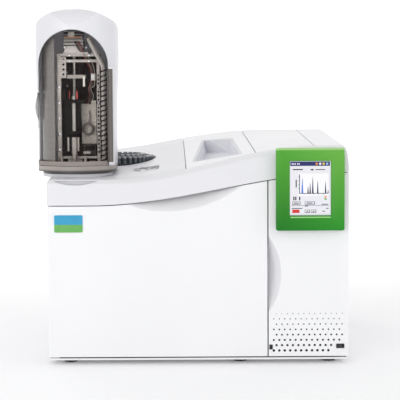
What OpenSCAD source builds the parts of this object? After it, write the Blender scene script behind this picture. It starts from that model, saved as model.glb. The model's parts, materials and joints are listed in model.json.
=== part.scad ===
// Bench-top gas chromatograph with an autosampler tower. All sizes are in millimetres.
// Pieces are drawn from the cabinet's left front corner: x runs right, y runs back and z runs up
// from the bench. framed() then moves each one to the part's frame, whose origin is the middle
// of the footprint.

/* [Cabinet] */
// Width of the cabinet
body_w = 660; // [640:1:700]
// Depth from the door's face to the rear panel
body_d = 650; // [630:1:700]
// Height of the rubber feet
foot_h = 10; // [8:1:14]
// Radius of the rubber feet
foot_r = 15; // [12:1:18]
// Height of the base pan's rim
pan_h = 4.2; // [3.5:0.1:6]
// Shadow gap between the base pan and the panels
pan_gap = 3.5; // [2:0.5:5]
// Sheet metal thickness
sheet = 1.5; // [1.2:0.1:2]
// Wall of the moulded covers
skin = 3; // [2.5:0.25:4]
// Gap between neighbouring covers
panel_gap = 2; // [1.5:0.25:3]

/* [Swept top] */
// Height of the seam over the door at the left
seam_low = 352.5; // [345:0.5:360]
// Rise of the seam towards the right side
seam_rise = 70.5; // [60:0.5:75]
// Where the seam starts to rise
seam_start = 100; // [60:1:140]
// Height of the front shoulder at the left
shoulder_low = 410; // [406:0.5:416]
// Rise of the front shoulder towards the right
shoulder_rise = 70; // [60:1:75]
// Height of the deck's rear edge at the left
rear_low = 437; // [430:1:440]
// Rise of the deck's rear edge towards the right
rear_rise = 55; // [50:1:60]
// Depth of the front fascia
fascia_d = 26; // [24:1:30]
// Radius of the fascia's front shoulder
shoulder_r = 20; // [16:1:22]
// Rounding of the deck's left edge
left_round = 8; // [6:1:10]
// Rounding of the deck's right edge
right_round = 10; // [8:1:14]
// How far the deck falls in that rounding
right_fall = 30; // [24:1:34]
// Depth of the rims under the deck covers
rim_d = 14; // [12:1:16]
// Seam between the deck cover and the detector lid
seam_a = 304; // [300:1:310]
// Width of the pneumatics lid
gas_lid_w = 127; // [120:1:134]
// Width of the cover right of the lids
right_cover_w = 75; // [68:1:80]
// How far the lids' left seams lean to the left at the rear
seam_lean = 14; // [0:1:18]

/* [Oven door] */
// Width of the column beside the oven door
column_w = 178; // [172:1:186]
// Thickness of the oven door
door_t = 44; // [42:1:46]
// Thickness of the door gasket
gasket_t = 3.7; // [3:0.1:4]
// Radius of the door's hinge pins
door_pin_r = 4; // [3:0.25:5]
// Distance of the hinge axis from the door's left edge
hinge_x = 10; // [9:0.5:12]
// Distance of the hinge axis from the door's face
hinge_y = 12; // [11:0.5:14]
// Radius of the finger scoop's outline on the door
scoop_r = 272; // [260:1:280]
// Radius of the ball that cuts the finger scoop
scoop_ball = 400; // [380:5:450]

/* [Oven] */
// Air gap on either side of the oven's case
case_air = 30; // [24:1:40]
// Depth of the oven cavity
cavity_d = 300; // [280:1:310]
// Insulation around the cavity
insulation = 44; // [36:1:44]
// Radius of the oven's fan
oven_fan_r = 80; // [70:1:86]
// Radius of the column coil
coil_r = 88; // [80:1:95]

/* [Column front] */
// Pitch of the vent holes
vent_pitch = 12; // [11:0.5:13]
// Distance between rows of vent holes
vent_row = 11.7; // [11:0.1:12.5]
// Radius of the smallest vent holes
vent_r_min = 1.1; // [0.8:0.1:1.5]
// Radius of the largest vent holes
vent_r_max = 2.9; // [2.4:0.1:3.2]
// Radius of the grip recess's outline
grip_r = 142; // [130:1:150]
// Radius of the ball that cuts the grip recess
grip_ball = 160; // [155:1:180]
// Height of the grip recess's middle
grip_z = 199.5; // [190:0.5:210]

/* [Display] */
// Width of the display bezel
bezel_w = 149; // [140:1:150]
// Height of the display bezel
bezel_h = 180; // [170:1:184]
// Thickness of the display bezel
bezel_t = 20; // [16:1:24]
// Width of the screen opening
screen_w = 90; // [80:1:96]
// Height of the screen opening
screen_h = 119; // [110:1:124]

/* [Autosampler tower] */
// Radius of the tower's round front
turret_r = 91; // [89:0.5:93]
// Half of the tower's width below its flared head
tower_half = 85.5; // [84:0.5:88]
// Height of the tower's top
tower_top = 782; // [770:1:800]
// Distance from the turning axis to the tower's back
tower_rear = 95; // [92:1:98]
// Wall of the tower's shell
shell_t = 3; // [2.5:0.25:3.5]
// Radius of the window's arch
arch_r = 78; // [74:1:80]
// Radius of the turntable's bearing
bearing_r = 48; // [46:1:50]
// Radius of the lead screw
screw_r = 4; // [3:0.25:5]
// Radius of the window's hinge pin
window_pin_r = 2.5; // [2:0.25:3]
// How far the window's finger grip stands out
grip_out = 7; // [3:0.5:8]

/* [Carousel] */
// Radius of the vial tray
tray_r = 95; // [92:1:97]
// Radius of a vial
vial_r = 5.5; // [5:0.1:5.8]
// Height of a vial
vial_h = 32; // [28:1:36]
// Vials in the outer ring
outer_vials = 40; // [30:1:44]
// Vials in the inner ring
inner_vials = 30; // [20:1:34]

/* [Rear] */
// Radius of the cooling fan's rotor
cooling_fan_r = 40; // [36:1:42]
// Radius of the gas tubes, eighth of an inch across
tube_r = 1.5875; // [1.5875:1.5875:3.175]
// Length of the gas tubes outside their fittings
tube_l = 14; // [12:1:20]

/* [Fits] */
// Radial clearance of running fits
run_fit = 0.05; // [0.02:0.01:0.08]
// Gap where a piece seats without touching
seat_gap = 0.3; // [0.2:0.05:0.5]

/* [Hidden] */
$fn = 64;
eps = 0.01;
deep = 1000;  // longer than anything it cuts

// Places across the cabinet
door_w = body_w - column_w;
seam_c = body_w - right_cover_w;
seam_b = seam_c - gas_lid_w;

// Heights and planes
pan_top = foot_h + pan_h;
panel_z = pan_top + pan_gap;
frame_y = door_t + gasket_t + seat_gap;  // front face of the chassis behind the door
frame_t = 2;
liner_t = 2;
deck_t = 2;  // chassis deck
chassis_z = 388;
chassis_top = chassis_z + deck_t;
column_x = door_w + 2.6;  // left edge of the column's front panel
wall_x = column_x - 4;  // partition between the oven and the column
case_wall = 2 * liner_t + insulation;
case_x = case_air;
case_w = wall_x - 2 * case_air;
case_y = frame_y + frame_t;
cavity_x = case_x + case_wall;
cavity_w = case_w - 2 * case_wall;
cavity_z = foot_h + sheet + case_wall;
cavity_h = chassis_z - case_wall - cavity_z;
cavity_mid_x = cavity_x + cavity_w / 2;
cavity_mid_z = cavity_z + cavity_h / 2;
liner_back = case_y + cavity_d + liner_t;
case_back = liner_back + insulation + liner_t;
inset = 8;  // chassis edge inside the panels
rear_y = body_d - sheet;  // inner face of the rear panel
lid_y = fascia_d + panel_gap;
lid_axis = [rear_y - 10.5, 452];  // y and z of the lids' hinge rod
lid_floor = lid_axis[1] - 6;  // lower edge of the lids' rear walls
lid_pin_r = 3;
ear_t = 4;

// Swept surfaces of the top
function smooth(t) = let (c = min(1, max(0, t))) c * c * (3 - 2 * c);
function seam_z(x) = seam_low + seam_rise * smooth((x - seam_start) / (body_w - seam_start));
function shoulder_z(x) = shoulder_low + shoulder_rise * smooth((x - 150) / 440);
function rear_z(x) = rear_low + rear_rise * smooth((x - 15) / 495);
function base_z(x, y) = let (v = max(0, (y - fascia_d) / (body_d - fascia_d)))
    shoulder_z(x) * (1 - v) + rear_z(x) * v;
// Fall of an elliptical rounding, wide by fall, at a distance from the edge
function drop(d, wide, fall) = d < wide ? fall * (1 - sqrt(max(0, 1 - pow(1 - d / wide, 2)))) : 0;
function deck_z(x, y) = base_z(x, y) - drop(x, left_round, left_round)
    - drop(body_w - x, right_round, right_fall) - drop(y, shoulder_r, shoulder_r);

// The deck's grid lines lean to the left between the carousel and the right cover
lean_start = 200;
function lean_share(x) = max(0, min((x - lean_start) / (seam_a - lean_start), 1,
    (seam_c - x) / (seam_c - seam_b)));
function leaned(x, y) = x - seam_lean * lean_share(x) * max(0, (y - fascia_d) / (body_d - fascia_d));

function steps(a, b, n) = [for (i = [0:n]) a + (b - a) * i / n];
function arc(cx, cy, r, a, b, n) = [for (i = [0:n]) let (t = a + (b - a) * i / n)
    [cx + r * cos(t), cy + r * sin(t)]];

// Grid lines across the deck, close together on a rounded edge
function lines_x(x0, x1, n) = concat(
    x0 < left_round ? [for (t = [0:30:60]) left_round * (1 - cos(t))] : [],
    steps(max(x0, left_round), min(x1, body_w - right_round), n),
    x1 > body_w - right_round ? [for (t = [60:-30:0]) body_w - right_round * (1 - cos(t))] : []);

// Autosampler tower
turret = [60, 118];
tower_floor_z = 436;
turntable_z = shoulder_low + 1;  // seat of the turntable on the deck
turntable_t = 7;
turntable_r = 78;
floor_under = turntable_z + turntable_t + seat_gap;
floor_plate_z = 424;
rear_corner = 40;
dome_r = 150;
dome_corner = 30;
brow_r = 45;
arch = [55.5, 658];
wrap_z = 600;  // below this height the window wraps round to the tower's side
grip_l = 60;
grip_mid = 566;
window_gap = 1.6;  // the gap that lets the window's edges swing clear
hinge_turn = 54;  // where the window's hinge stands, in degrees from the front
hinge_out = 6;
barrel_r = window_pin_r + 2.5;
hinge_low = tower_floor_z + 4;
hinge_top = 654;
flare_z = [560, 700];  // between these heights the tower widens towards its head
needle = [55, 88];
screw = [55, 112];
needle_turn = 70;  // turn from the first injector to the second
needle_arm = needle - turret;
needle_b = turret + [needle_arm[0] * cos(needle_turn) - needle_arm[1] * sin(needle_turn),
    needle_arm[0] * sin(needle_turn) + needle_arm[1] * cos(needle_turn)];
motor_z = 687;
holder_z = [505, 582];
nozzle_z = 436.5;
needle_z = nozzle_z - 9;
plunger_z = [629, 637];
guide = [75, 99];  // guide rod of the plunger's arm
guide_r = 3;
rail_l = [18, 26];
rail_r = [106, 112.5];
rail_y = 96;
plate_y = 130;  // front of the frame's back plate
barrel = 4;  // radius of the syringe's barrel

// Carousel
tray_c = [131, 345];
well_r = tray_r + 3.5;
well_t = 2.5;
well_z = 404;
tray_z = 409;
tier_z = [428, 432];
ring_r = [tray_r - 8.5, tray_r - 26.5];
tray_shaft_r = 6;

// Column front and display
bezel_x = body_w - 11 - bezel_w;
bezel_z = 477 - bezel_h;
screen_x = bezel_x + (bezel_w - screen_w) / 2;
screen_z = bezel_z + 33;
housing_t = 6;
glass_t = 3;
glass_y = -bezel_t + 6;
grip_x = column_x + 28 - grip_r;
grip_block = [36, 95];  // width and half height of the solid wall behind the grip
vent_x = column_x + 17.4;
vent_z = 30.2;
switch_box = [body_w - 27, body_w - 9, 34.9, 44.9];
latch_box = [column_x + 1.4, column_x + 8.9, 32.7, 43.6];

// Rear
fan_c = [body_w - 90, 150];
fan_box = 92;
fan_hole = cooling_fan_r + 2;
duct = [case_x + case_w - 132, case_x + case_w - 18, 120, 240];
flap_axis = [rear_y + sheet + 4, 246];
flap_pin_r = 2.5;
gland_r = 4;  // body of a gas fitting
gas_x = [for (i = [0:5]) body_w - 170 + i * 24];
gas_z = 370;
inlet_box = [body_w - 100, body_w - 48, 40, 72];
ports_box = [body_w - 160, body_w - 115, 230, 300];

// The part's frame: the middle of the footprint, bezel and gas tubes included
x_low = turret[0] - tower_half - grip_out;
y_low = -bezel_t;
y_high = rear_y + sheet + 6 + tube_l;

// ---- helpers ----

module framed() translate([-(x_low + body_w) / 2, -(y_low + y_high) / 2, 0]) children();

module block(x, y, z) translate([x[0], y[0], z[0]]) cube([x[1] - x[0], y[1] - y[0], z[1] - z[0]]);

// A front outline in x and z, drawn from y[0] back to y[1]
module front(y) translate([0, y[1], 0]) rotate([90, 0, 0]) linear_extrude(y[1] - y[0]) children();

// A side outline in y and z, drawn from x[0] to x[1]
module side(x) translate([x[0], 0, 0]) rotate([90, 0, 90]) linear_extrude(x[1] - x[0]) children();

module rounded(x, y, r) {
    translate([x[0] + r, y[0]]) square([x[1] - x[0] - 2 * r, y[1] - y[0]]);
    translate([x[0], y[0] + r]) square([x[1] - x[0], y[1] - y[0] - 2 * r]);
    for (a = [x[0] + r, x[1] - r], b = [y[0] + r, y[1] - r]) translate([a, b]) circle(r);
}

module rod(at, z, r) translate([at[0], at[1], z[0]]) cylinder(h = z[1] - z[0], r = r);

module rod_y(x, y, z, r) translate([x, y[0], z]) rotate([-90, 0, 0]) cylinder(h = y[1] - y[0], r = r);

module rod_x(x, y, z, r) translate([x[0], y, z]) rotate([0, 90, 0]) cylinder(h = x[1] - x[0], r = r);

module ring(at, z, r_in, r_out) difference() {
    rod(at, z, r_out);
    rod(at, [z[0] - 1, z[1] + 1], r_in);
}

// Two triangles for each four-cornered face
function split(a, b, c, d) = [[a, b, c], [a, c, d]];

// A moulded cover that follows the deck over the grid xs by ys. Its skin turns down into rims,
// and rim(i, j, x, y) gives the height of a rim's lower edge.
module cover(xs, ys, rim) {
    nx = len(xs);
    ny = len(ys);
    function inner(v, s) = let (a = s[0], b = s[len(s) - 1])
        a + skin + (v - a) * (b - a - 2 * skin) / (b - a);
    edge = concat([for (i = [0:nx - 1]) [i, 0]], [for (j = [1:ny - 1]) [nx - 1, j]],
        [for (i = [nx - 2:-1:0]) [i, ny - 1]], [for (j = [ny - 2:-1:1]) [0, j]]);
    m = len(edge);
    outer_top = [for (x = xs, y = ys) [leaned(x, y), y, deck_z(x, y)]];
    inner_top = [for (x = xs, y = ys) let (a = inner(x, xs), b = inner(y, ys))
        [leaned(a, b), b, deck_z(a, b) - skin]];
    outer_rim = [for (e = edge) let (x = xs[e[0]], y = ys[e[1]])
        [leaned(x, y), y, rim(e[0], e[1], x, y)]];
    inner_rim = [for (e = edge) let (x = inner(xs[e[0]], xs), y = inner(ys[e[1]], ys))
        [leaned(x, y), y, rim(e[0], e[1], x, y)]];
    n = nx * ny;
    at = function (e) e[0] * ny + e[1];
    polyhedron(points = concat(outer_top, inner_top, outer_rim, inner_rim), faces = concat(
        [for (i = [0:nx - 2], j = [0:ny - 2]) let (a = i * ny + j)
            each split(a, a + 1, a + ny + 1, a + ny)],
        [for (i = [0:nx - 2], j = [0:ny - 2]) let (a = n + i * ny + j)
            each split(a, a + ny, a + ny + 1, a + 1)],
        [for (k = [0:m - 1]) let (l = (k + 1) % m)
            each split(at(edge[k]), at(edge[l]), 2 * n + l, 2 * n + k)],
        [for (k = [0:m - 1]) let (l = (k + 1) % m)
            each split(2 * n + k, 2 * n + l, 2 * n + m + l, 2 * n + m + k)],
        [for (k = [0:m - 1]) let (l = (k + 1) % m)
            each split(2 * n + m + k, 2 * n + m + l, n + at(edge[l]), n + at(edge[k]))]));
}

// A solid slab under the deck: its top lies top below the deck, and its underside is level at
// floor_z, or lies thick below the top.
module slab(xs, ys, top, thick = 0, floor_z = 0) {
    nx = len(xs);
    ny = len(ys);
    n = nx * ny;
    upper = [for (x = xs, y = ys) [leaned(x, y), y, deck_z(x, y) - top]];
    lower = [for (p = upper) [p[0], p[1], thick > 0 ? p[2] - thick : floor_z]];
    edge = concat([for (i = [0:nx - 1]) i * ny], [for (j = [1:ny - 1]) (nx - 1) * ny + j],
        [for (i = [nx - 2:-1:0]) i * ny + ny - 1], [for (j = [ny - 2:-1:1]) j]);
    m = len(edge);
    polyhedron(points = concat(upper, lower), faces = concat(
        [for (i = [0:nx - 2], j = [0:ny - 2]) let (a = i * ny + j)
            each split(a, a + 1, a + ny + 1, a + ny)],
        [for (i = [0:nx - 2], j = [0:ny - 2]) let (a = n + i * ny + j)
            each split(a, a + ny, a + ny + 1, a + 1)],
        [for (k = [0:m - 1]) let (l = (k + 1) % m)
            each split(edge[k], edge[l], n + edge[l], n + edge[k])]));
}

// ---- cabinet ----

module base_pan() color("white") difference() {
    block([2, body_w - 3], [4, body_d - 4], [foot_h, pan_top]);
    block([2 + sheet, body_w - 3 - sheet], [4 + sheet, body_d - 4 - sheet], [foot_h + sheet, deep]);
}

foot_at = [for (x = [45, door_w - 59, body_w - 40], y = [50, body_d - 60]) [x, y]];

module feet() color("dimgray") for (p = foot_at)
    rod(p, [0, foot_h], foot_r);

module oven_mouth(y) block([cavity_x, cavity_x + cavity_w], y, [cavity_z, cavity_z + cavity_h]);

// Front plate of the chassis, with the oven's mouth and a bay behind the column's panel
module front_frame() color("gainsboro") difference() {
    block([4, body_w - 5], [frame_y, frame_y + frame_t], [foot_h + sheet, chassis_z]);
    oven_mouth([0, deep]);
    block([column_x + 24, body_w - 24], [0, deep], [panel_z + 40, chassis_z - 30]);
}

// A bracket on the chassis deck that reaches forward to the fascia's inner face
module fascia_bracket(x, z) {
    block([x, x + 30], [frame_y, frame_y + 40], [chassis_top, chassis_top + 2]);
    block([x, x + 30], [frame_y, frame_y + 2], [chassis_top, z + 3]);
    block([x, x + 30], [skin, frame_y + 2], [z, z + 3]);
}

// Upper deck over the oven, the partition beside it and the brackets that carry the fascia
module chassis_deck() color("silver") difference() {
    union() {
        block([inset, body_w - inset], [frame_y, rear_y - 4], [chassis_z, chassis_top]);
        block([wall_x, wall_x + 2], [case_y, rear_y - 13], [foot_h + sheet, chassis_z]);
        for (x = [190, door_w - 52, body_w - 50])
            fascia_bracket(x, max(chassis_top, (seam_z(x + 30) + shoulder_z(x) - shoulder_r) / 2));
        lid_posts();
    }
    for (p = [needle, needle_b]) rod(p, [0, deep], injector_r);
    for (p = detector_at) rod(p, [0, deep], detector_r);
}

// Hooked posts that hold the lids' hinge rod, clear of the lids' rear walls as these swing down
module lid_posts() difference() {
    for (x = [seam_a - seam_lean + 12, (seam_a + seam_b) / 2 - seam_lean, seam_b - seam_lean - 16,
            seam_b - seam_lean + 14, seam_c - 16]) {
        block([x, x + 4], [lid_axis[0] - 10, lid_axis[0] - 5], [chassis_top - eps, lid_axis[1] + 4]);
        block([x, x + 4], [lid_axis[0] - 10, lid_axis[0] + 5], [lid_axis[1] - 4, lid_axis[1] + 4]);
    }
    rod_x([0, body_w], lid_axis[0], lid_axis[1], lid_pin_r);
}

// The rod that both lids turn on, and the brackets and pins of the oven door
module hinge_pins() color("silver") {
    rod_x([leaned(seam_a, lid_axis[0]) + panel_gap + skin + seat_gap, seam_c - skin - seat_gap],
        lid_axis[0], lid_axis[1], lid_pin_r);
    block([3, 24], [hinge_y - 7, frame_y], [pan_top, pan_top + 2]);
    rod([hinge_x, hinge_y], [pan_top + 2, panel_z + 12], door_pin_r);
    block([3.5, 24], [hinge_y - 7, frame_y], [seam_low, seam_low + skin]);
    rod([hinge_x, hinge_y], [seam_low - 14, seam_low], door_pin_r);
}

// Side panels step forward over the door, under the deck covers
module side_sheet(x) {
    y1 = rear_y - seat_gap;
    under = function (y) under_rim(x, y) - seat_gap;
    polygon([[frame_y + seat_gap, pan_top], [y1, pan_top], [y1, under(y1)], [lid_y, under(lid_y)],
        [lid_y, seam_z(x) + seat_gap], [frame_y + seat_gap, seam_z(x) + seat_gap]]);
}

module side_panel_left() color("white") {
    side([0, sheet]) side_sheet(0);
    block([sheet, 12], [frame_y + frame_t, rear_y - 12], [pan_top, pan_top + sheet]);
}

module side_panel_right() color("white") difference() {
    union() {
        side([body_w - sheet, body_w]) side_sheet(body_w);
        block([body_w - 12, body_w - sheet], [frame_y + frame_t, rear_y - 12],
            [pan_top, pan_top + sheet]);
    }
    for (i = [0:7])
        block([body_w - 2 * sheet, body_w + 1], [body_d - 180, body_d - 60], [90 + i * 14, 95 + i * 14]);
}

module rear_panel() color("white") {
    front([rear_y, rear_y + sheet]) difference() {
        polygon(rear_points());
        translate([duct[0] + 6, duct[2] + 6]) square([duct[1] - duct[0] - 12, duct[3] - duct[2] - 12]);
        translate(fan_c) circle(fan_hole);
        for (x = gas_x) translate([x, gas_z]) circle(gland_r + 0.2);
        translate([inlet_box[0] + 5, inlet_box[2] + 4]) square([42, 24]);
        translate([ports_box[0] + 5, ports_box[2] + 5]) square([35, 60]);
    }
    block([14, body_w - 15], [rear_y - 12, rear_y + eps], [pan_top, pan_top + sheet]);
    difference() {
        for (x = [duct[0] - 5, duct[1] + 1])
            block([x, x + 4], [rear_y + sheet - eps, flap_axis[0] + 4], [flap_axis[1] - 5, flap_axis[1] + 5]);
        rod_x([duct[0] - 3, duct[1] + 3], flap_axis[0], flap_axis[1], flap_pin_r + run_fit);
    }
}

// Outline of the rear panel: it steps down under the two lids
function rear_points() = let (left = lines_x(0, seam_a, 6), right = lines_x(seam_c + panel_gap, body_w, 3))
    concat([[0, pan_top], [body_w, pan_top]],
        [for (i = [len(right) - 1:-1:0]) [right[i], deck_z(right[i], body_d) - 1]],
        [[seam_c + panel_gap, lid_floor - 8], [leaned(seam_a, body_d), lid_floor - 8]],
        [for (i = [len(left) - 1:-1:0]) [leaned(left[i], body_d), deck_z(left[i], body_d) - 1]]);

// ---- oven ----

injector_r = 12;
detector_r = 15;
detector_at = [[330, 230], [400, 270]];
fan_shaft_r = 5;

module case_block(grow, y) block([case_x + grow, case_x + case_w - grow], y,
    [foot_h + sheet + grow, chassis_z - grow]);

module oven_case() color("silver") difference() {
    union() {
        case_block(0, [case_y, case_back]);
        block([duct[0], duct[1]], [case_back - eps, rear_y], [duct[2], duct[3]]);
    }
    case_block(liner_t, [case_y - 1, case_back - liner_t]);
    block([duct[0] + 2, duct[1] - 2], [case_back - liner_t - 1, rear_y + 1], [duct[2] + 2, duct[3] - 2]);
    rod_y(cavity_mid_x, [0, case_back + 1], cavity_mid_z, fan_shaft_r + 3);
    ports_up();
}

// Holes for the injectors and the detectors through the oven's roof
module ports_up() {
    for (p = [needle, needle_b]) rod(p, [cavity_mid_z, deep], injector_r);
    for (p = detector_at) rod(p, [cavity_mid_z, deep], detector_r);
}

module oven_insulation() color("wheat") difference() {
    case_block(liner_t, [case_y, case_back - liner_t]);
    block([cavity_x - liner_t, cavity_x + cavity_w + liner_t], [0, liner_back],
        [cavity_z - liner_t, cavity_z + cavity_h + liner_t]);
    block([duct[0] + 2, min(duct[1] - 2, cavity_x + cavity_w)], [0, deep], [duct[2] + 2, duct[3] - 2]);
    rod_y(cavity_mid_x, [0, deep], cavity_mid_z, fan_shaft_r + 3);
    ports_up();
}

module oven_liner() color("lightgray") difference() {
    block([cavity_x - liner_t, cavity_x + cavity_w + liner_t], [case_y, liner_back],
        [cavity_z - liner_t, cavity_z + cavity_h + liner_t]);
    oven_mouth([0, liner_back - liner_t]);
    block([duct[0] + 2, min(duct[1] - 2, cavity_x + cavity_w)], [liner_back - 20, deep],
        [duct[2] + 2, duct[3] - 2]);
    rod_y(cavity_mid_x, [0, deep], cavity_mid_z, fan_shaft_r + 3);
    ports_up();
}

baffle_y = liner_back - liner_t - 52;

// Air baffle on four stand-offs, with the heater's coils on ceramic posts behind it
module heater_baffle() color("lightgray") {
    wall = liner_back - liner_t;
    heater_r = oven_fan_r + 18;
    difference() {
        block([cavity_x + 12, cavity_x + cavity_w - 12], [baffle_y, baffle_y + 2],
            [cavity_z + 10, cavity_z + cavity_h - 10]);
        for (a = [0:60:300]) rod_y(cavity_mid_x + 30 * cos(a), [0, deep], cavity_mid_z + 30 * sin(a), 12);
        rod_y(cavity_mid_x, [0, deep], cavity_mid_z, 12);
    }
    for (x = [-1, 1], z = [-1, 1])
        rod_y(cavity_mid_x + x * (cavity_w / 2 - 24), [baffle_y, wall],
            cavity_mid_z + z * (cavity_h / 2 - 20), 4);
    for (a = [45:90:315]) rod_y(cavity_mid_x + heater_r * cos(a), [baffle_y + 2, wall],
        cavity_mid_z + heater_r * sin(a), 5);
    for (y = [14, 24]) translate([cavity_mid_x, baffle_y + y, cavity_mid_z]) rotate([90, 0, 0])
        rotate_extrude() translate([heater_r, 0]) circle(2.5);
}

module oven_fan() color("gray") translate([cavity_mid_x, 0, cavity_mid_z]) rotate([-90, 0, 0]) {
    y0 = baffle_y + 8;
    translate([0, 0, y0]) cylinder(h = case_back + 30 - y0, r = fan_shaft_r);
    translate([0, 0, y0]) cylinder(h = 24, r = 14);
    translate([0, 0, y0 + 24]) cylinder(h = 1.5, r = oven_fan_r);
    for (a = [0:45:315]) rotate([0, 0, a]) translate([12, -0.75, y0 + 2])
        cube([oven_fan_r - 12, 1.5, 23]);
}

module oven_fan_motor() color("slategray") difference() {
    union() {
        rod_y(cavity_mid_x, [case_back, case_back + 4], cavity_mid_z, 52);
        rod_y(cavity_mid_x, [case_back, case_back + 66], cavity_mid_z, 38);
    }
    rod_y(cavity_mid_x, [case_back - 1, case_back + 40], cavity_mid_z, fan_shaft_r + run_fit);
}

coil_y = case_y + 130;
coil_wire = 1.5;
coil_turns = 7;

// Capillary column: a flat stack of turns on its cage, facing the door
module column_coil() color("peru") translate([cavity_mid_x, coil_y, cavity_mid_z]) rotate([-90, 0, 0])
    for (i = [0:coil_turns - 1]) translate([0, 0, (i - (coil_turns - 1) / 2) * 2 * coil_wire])
        rotate_extrude() translate([coil_r, 0]) circle(coil_wire + 0.1);

module column_cage() color("silver") {
    half = coil_turns * coil_wire + 3.5;
    inner_r = coil_r - coil_wire - 0.1 - seat_gap;
    for (a = [45:90:315]) rod_y(cavity_mid_x + (inner_r - 3) * cos(a), [coil_y - half, coil_y + half],
        cavity_mid_z + (inner_r - 3) * sin(a), 3);
    for (y = [-half, half - 3]) translate([cavity_mid_x, coil_y + y, cavity_mid_z]) rotate([-90, 0, 0]) {
        difference() {
            cylinder(h = 3, r = inner_r + 6);
            translate([0, 0, -1]) cylinder(h = 5, r = inner_r - 6);
        }
    }
    for (y = [-half, half - 3]) block([cavity_mid_x - 5, cavity_mid_x + 5], [coil_y + y, coil_y + y + 3],
        [cavity_mid_z + inner_r, cavity_z + cavity_h]);
}

// Each injector stands through the oven's roof under its knurled septum cap
module injectors() color("silver") for (p = [needle, needle_b]) difference() {
    union() {
        rod(p, [cavity_z + cavity_h - 26, chassis_top], injector_r - seat_gap);
        rod(p, [chassis_top, chassis_top + 5], injector_r + 1.5);
        rod(p, [chassis_top + 5, chassis_top + 13], injector_r - 2);
    }
    rod(p, [chassis_top - 30, deep], 2);
}

module detectors() color("silver") for (p = detector_at) difference() {
    union() {
        rod(p, [cavity_z + cavity_h - 22, chassis_top], detector_r - seat_gap);
        rod(p, [chassis_top, chassis_top + 12], detector_r + 3);
        rod(p, [chassis_top + 12, chassis_top + 20], detector_r - 5);
    }
    rod(p, [chassis_top + 8, deep], 4);
}

module exhaust_flap() color("silver") {
    rod_x([duct[0] - 2.8, duct[1] + 2.8], flap_axis[0], flap_axis[1], flap_pin_r);
    block([duct[0], duct[1]], [flap_axis[0] - 0.8, flap_axis[0] + 0.8], [duct[2] - 4, flap_axis[1]]);
}

// ---- oven door ----

// Outline of the door in x and z, drawn in from its edges by inward
module door_outline(inward, top_down) {
    xs = steps(panel_gap / 2 + 0.5 + inward, door_w - inward, 20);
    polygon(concat([[xs[0], panel_z + inward], [xs[20], panel_z + inward]],
        [for (i = [20:-1:0]) [xs[i], seam_z(xs[i]) - panel_gap - top_down]]));
}

module hinge_line(z, r) rod([hinge_x, hinge_y], z, r);

// Ball that hollows the finger scoop under the fascia's edge
module scoop() translate([263, -sqrt(scoop_ball * scoop_ball - scoop_r * scoop_r), seam_low + 258.5])
    sphere(scoop_ball);

module oven_door() color("white") difference() {
    union() {
        difference() {
            front([0, door_t - 2]) door_outline(0, 0);
            front([skin, deep]) door_outline(skin, 44);
        }
        hinge_line([panel_z, panel_z + 20], door_pin_r + 4.5);
    }
    scoop();
    hinge_line([0, panel_z + 14], door_pin_r + run_fit);
    hinge_line([seam_low - 16, deep], door_pin_r + run_fit);
}

// Sheet behind the door and the insulated plug that fills the oven's mouth
module door_plug() color("lightgray") {
    front([door_t - 2, door_t]) door_outline(seat_gap, 0);
    block([cavity_x + 6, cavity_x + cavity_w - 6], [door_t, door_t + 22],
        [cavity_z + 6, cavity_z + cavity_h - 6]);
}

module door_gasket() color("dimgray") difference() {
    block([cavity_x - 12, cavity_x + cavity_w + 12], [door_t, door_t + gasket_t],
        [cavity_z - 12, cavity_z + cavity_h + 12]);
    oven_mouth([0, deep]);
}

// Bare plate where a badge would sit
module badge_plate() color("steelblue") front([-1.2, 0])
    rounded([16.4, 78.4], [seam_low - 58.8, seam_low - 20.9], 3);

// ---- top covers ----

// Lower edge of a cover's rim, which drops with the rounding of the right edge
function under_rim(x, y) = base_z(x, y) - rim_d - (x > body_w - right_round + eps ? right_fall : 0);

module top_fascia() color("white") difference() {
    xs = lines_x(0, body_w, 24);
    ys = concat([for (t = [0:30:90]) shoulder_r * (1 - cos(t))], [fascia_d - skin, fascia_d]);
    last = len(xs) - 1;
    cover(xs, ys, function (i, j, x, y) (i == 0 || i == last || j == 0) ? seam_z(x) : under_rim(x, y));
    notch();
}

notch_r = 131;
notch_d = 12;

// Shallow bow in the fascia under the tower
module notch() rod_y(turret[0] + 3, [-1, notch_d], shoulder_low - 13.6 + notch_r, notch_r, $fn = 128);

module left_deck_cover() color("white") difference() {
    cover(lines_x(0, seam_a, 9), steps(lid_y, rear_y - seat_gap, 6),
        function (i, j, x, y) under_rim(x, y));
    rod(turret, [turntable_z, deep], turntable_r + seat_gap);
    rod(turret, [0, deep], bearing_r + 5 + seat_gap);
    rod(tray_c, [0, deep], well_r);
    block(latch_x, latch_y, [0, deep]);
}

module right_deck_cover() color("white") cover(lines_x(seam_c + panel_gap, body_w, 3),
    steps(lid_y, rear_y - seat_gap, 5), function (i, j, x, y) under_rim(x, y));

latch_x = [180, 242];
latch_y = [118, 186];

// Grey latch in the deck: a sunk plate with two slots and a long thumb boss
module deck_latch() color("gray") {
    difference() {
        union() {
            slab(steps(latch_x[0] + seat_gap, latch_x[1] - seat_gap, 3),
                steps(latch_y[0] + seat_gap, latch_y[1] - seat_gap, 2), 1.5, 6);
            slab(steps(latch_x[0] - 5, latch_x[1] + 5, 4), steps(latch_y[0] - 5, latch_y[1] + 5, 2),
                skin + 0.5, 2);
        }
        for (y = [132, 164]) block([latch_x[0] + 8, latch_x[1] - 8], [y, y + 4], [0, deep]);
    }
    boss_x = 207;
    for (y = [130, 172]) rod([boss_x, y], [412, 425], 8);
    block([boss_x - 8, boss_x + 8], [130, 172], [412, 425]);
}

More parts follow.
